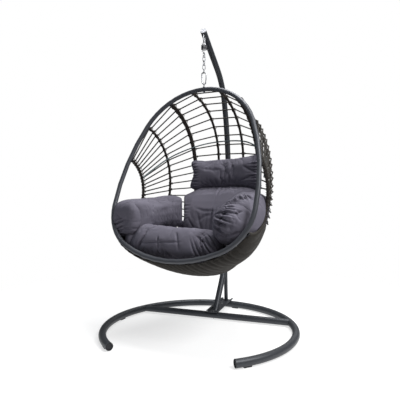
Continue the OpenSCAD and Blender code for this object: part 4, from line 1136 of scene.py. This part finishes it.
class CHAIR_OT_lashings(bpy.types.Operator):
    """Lash each rod to each rib, and add the welds where the ribs meet the rim"""

    bl_idname = "chair.lashings"
    bl_label = "Lashings and welds"

    clear = 0.0005
    lash_points = 12
    level = 0.01
    bead_diameter = 0.004
    bead_points = 16
    bead_off_rim = 0.001
    bead_off_rib = 0.0012

    def execute(self, context):
        sizes = context.scene.chair_sizes
        basket = Basket(sizes)
        loops = [
            self.lash(basket, number, k, hand, lean)
            for number in range(1, sizes.open_rods + 1)
            for k, hand in basket.order
            for lean in (-1, 1)
        ]
        wires("rod_lashings", loops, sizes.lash_diameter, "basket", "wicker", looped=True)
        rings = [
            self.weld(basket, k, hand, upper)
            for hand in (-1, 1)
            for k in range(4)
            for upper in (True, False)
        ]
        wires("rim_welds", rings, self.bead_diameter, "basket", "rim_coat", looped=True)
        return {"FINISHED"}

    def lash(self, basket, number, k, hand, lean):
        """A slanting turn of strand round a rib and the rod that crosses it"""
        sizes = basket.sizes
        thick = sizes.lash_diameter
        here, ahead, normal = basket.beside_rib(k, hand, basket.rod_share(number), 0)
        radius = basket.rib_d[k] / 2
        top = radius + self.clear + sizes.rod_diameter + thick / 2
        aside = radius + thick / 2
        loop = []
        for step in range(self.lash_points):
            angle = 2 * math.pi * step / self.lash_points
            height = math.cos(angle)
            rise = height**0.5 * top if height > self.level else height * aside
            loop.append(
                here
                + math.sin(angle) * aside * Vector((1, 0, 0))
                + rise * normal
                + lean * math.sin(angle) * (sizes.rod_diameter / 2 + thick / 2) * ahead
            )
        return [basket.place(point) for point in loop]

    def weld(self, basket, k, hand, upper):
        """A bead round a rib where it stands on the rim"""
        at, ahead, normal = basket.beside_rib(k, hand, 0.0 if upper else 1.0, 0)
        if not upper:
            ahead = -ahead
        at = at + ahead * (basket.sizes.rim_diameter / 2 + self.bead_off_rim)
        radius = basket.rib_d[k] / 2 + self.bead_off_rib
        turns = [2 * math.pi * step / self.bead_points for step in range(self.bead_points)]
        ring = round_tube(at, radius, Vector((1, 0, 0)), normal, turns)
        return [basket.place(point) for point in ring]


class CHAIR_OT_spring(bpy.types.Operator):
    """Wind the spring from round wire, in place of the frame's spring"""

    bl_idname = "chair.spring"
    bl_label = "Spring"

    wire = 0.0045
    radius = 0.017
    turns = 5
    travel = 0.005
    points = 24

    def execute(self, context):
        low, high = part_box("drawbar_spring")
        height = high.z - low.z
        rise = (height - self.wire) / self.turns
        last = self.points * self.turns
        line = []
        for step in range(-1, last + 2):
            wound = min(max(step, 0), last)
            angle = 2 * math.pi * wound / self.points
            x = self.radius * math.cos(angle)
            y = self.radius * math.sin(angle) + (step - wound) * self.wire
            line.append((x, y, low.z + self.wire / 2 + rise * wound / self.points))
        spring = wires("wound_spring", [line], self.wire, "spring_set", "spring_steel", sides=8)
        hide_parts("drawbar_spring")
        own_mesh(spring)
        return {"FINISHED"}


# Each light's name, place, the point that it faces, its width and height, its power and colour
LIGHTS = (
    ("key", (2.9, -0.9, 3.5), (0, 0, 0.8), (1.8, 1.6), 150, (1, 1, 1)),
    ("fill", (-3.2, -1.8, 2.4), (0, 0, 0.9), (2.0, 2.6), 12, (0.72, 0.86, 1.0)),
    ("top", (0.2, 0.6, 4.2), (0, 0, 0.6), (1.8, 1.8), 140, (1, 1, 1)),
    ("rear", (0.6, 3.6, 2.4), (0, 0, 1.0), (3.0, 2.0), 16, (1, 1, 1)),
)


def area_light(name, at, towards, size, power, shade):
    lamp = bpy.data.lights.new(name, "AREA")
    lamp.shape = "RECTANGLE"
    lamp.size, lamp.size_y = size
    lamp.energy = power
    lamp.color = shade
    holder = placed(name, lamp)
    holder.location = at
    holder.rotation_euler = (Vector(towards) - Vector(at)).to_track_quat("-Z", "Y").to_euler()


class CHAIR_OT_stage(bpy.types.Operator):
    """Set up the floor, the white surroundings, the soft lights and the camera"""

    bl_idname = "chair.stage"
    bl_label = "Stage"

    floor_reach = 14
    floor_squares = 8
    floor_fades = (1.1, 2.1)
    floor_glow = 0.66
    sky_strength = 0.15
    film_width = 36
    sight = 60

    def execute(self, context):
        scene = context.scene
        self.lay_floor(scene)
        self.surround(scene)
        for light in LIGHTS:
            area_light(*light)
        self.place_camera(scene)
        scene.view_settings.view_transform = "Standard"
        return {"FINISHED"}

    def lay_floor(self, scene):
        """A plain floor that fades out round the chair"""
        squares = self.floor_squares
        floor = bmesh.new()
        bmesh.ops.create_grid(floor, x_segments=squares, y_segments=squares, size=self.floor_reach)
        ground = placed("floor", mesh_of(floor, "floor"))
        paint = Finish("floor_paint", specular_ior_level=0.1, emission_strength=self.floor_glow)
        clouds = paint.grain(3)
        shade = scene.chair_colours.floor
        where = paint.node("ShaderNodeTexCoord", output="Object")
        gone = paint.node("ShaderNodeVectorMath", {"operation": "LENGTH"}, {0: where}, "Value")
        paint.set(
            base_color=paint.mixed(clouds, toned(shade, 0.995), toned(shade, 1.005)),
            roughness=0.85 + 0.05 * clouds,
            alpha=1 - gone.between(*self.floor_fades),
            emission_color=(1, 1, 1),
        )
        ground.data.materials.append(paint.material)

    def surround(self, scene):
        """White for the camera and behind clear things, and a low even light on the chair"""
        scene.world = bpy.data.worlds.new("surroundings")
        scene.world.use_nodes = True
        air = Nodes(scene.world.node_tree)
        air.tree.nodes.clear()
        from_camera = air.node("ShaderNodeLightPath", output="Is Camera Ray")
        sky, white = (
            air.node("ShaderNodeBackground", {}, {"Color": (1, 1, 1), "Strength": strength})
            for strength in (self.sky_strength, 1)
        )
        seen = from_camera.at_least(from_camera.beside("Is Transmission Ray"))
        chosen = air.node("ShaderNodeMixShader", {}, {0: seen, 1: sky, 2: white})
        air.put(air.tree.nodes.new("ShaderNodeOutputWorld"), "Surface", chosen)

    def place_camera(self, scene):
        lens = bpy.data.cameras.new("camera")
        lens.sensor_width = self.film_width
        lens.lens = View.focal / View.size * lens.sensor_width
        lens.shift_x = 0.5 - View.middle[0] / View.size
        lens.shift_y = View.middle[1] / View.size - 0.5
        lens.clip_end = self.sight
        scene.camera = placed("camera", lens)
        scene.camera.location = View.place
        scene.camera.rotation_euler = View.ahead.to_track_quat("-Z", "Y").to_euler()


class CHAIR_PT_panel(bpy.types.Panel):
    """Lists the chair's operators, sizes and colours"""

    bl_idname = "CHAIR_PT_panel"
    bl_label = "Egg chair"
    bl_space_type = "VIEW_3D"
    bl_region_type = "UI"
    bl_category = "Egg chair"

    def draw(self, context):
        for operator in OPERATORS:
            self.layout.operator(operator.bl_idname)
        for group in (context.scene.chair_sizes, context.scene.chair_colours):
            for name in group.__annotations__:
                self.layout.prop(group, name)


OPERATORS = (
    CHAIR_OT_stage,
    CHAIR_OT_coats,
    CHAIR_OT_cushions,
    CHAIR_OT_bowl,
    CHAIR_OT_lashings,
    CHAIR_OT_spring,
)
CLASSES = (ChairSizes, ChairColours, *OPERATORS, CHAIR_PT_panel)


def register():
    for kind in CLASSES:
        bpy.utils.register_class(kind)
    bpy.types.Scene.chair_sizes = bpy.props.PointerProperty(type=ChairSizes)
    bpy.types.Scene.chair_colours = bpy.props.PointerProperty(type=ChairColours)


def unregister():
    del bpy.types.Scene.chair_colours
    del bpy.types.Scene.chair_sizes
    for kind in reversed(CLASSES):
        bpy.utils.unregister_class(kind)


def main():
    register()
    for operator in OPERATORS:
        getattr(bpy.ops.chair, operator.bl_idname.split(".")[1])()


if __name__ == "__main__":
    main()
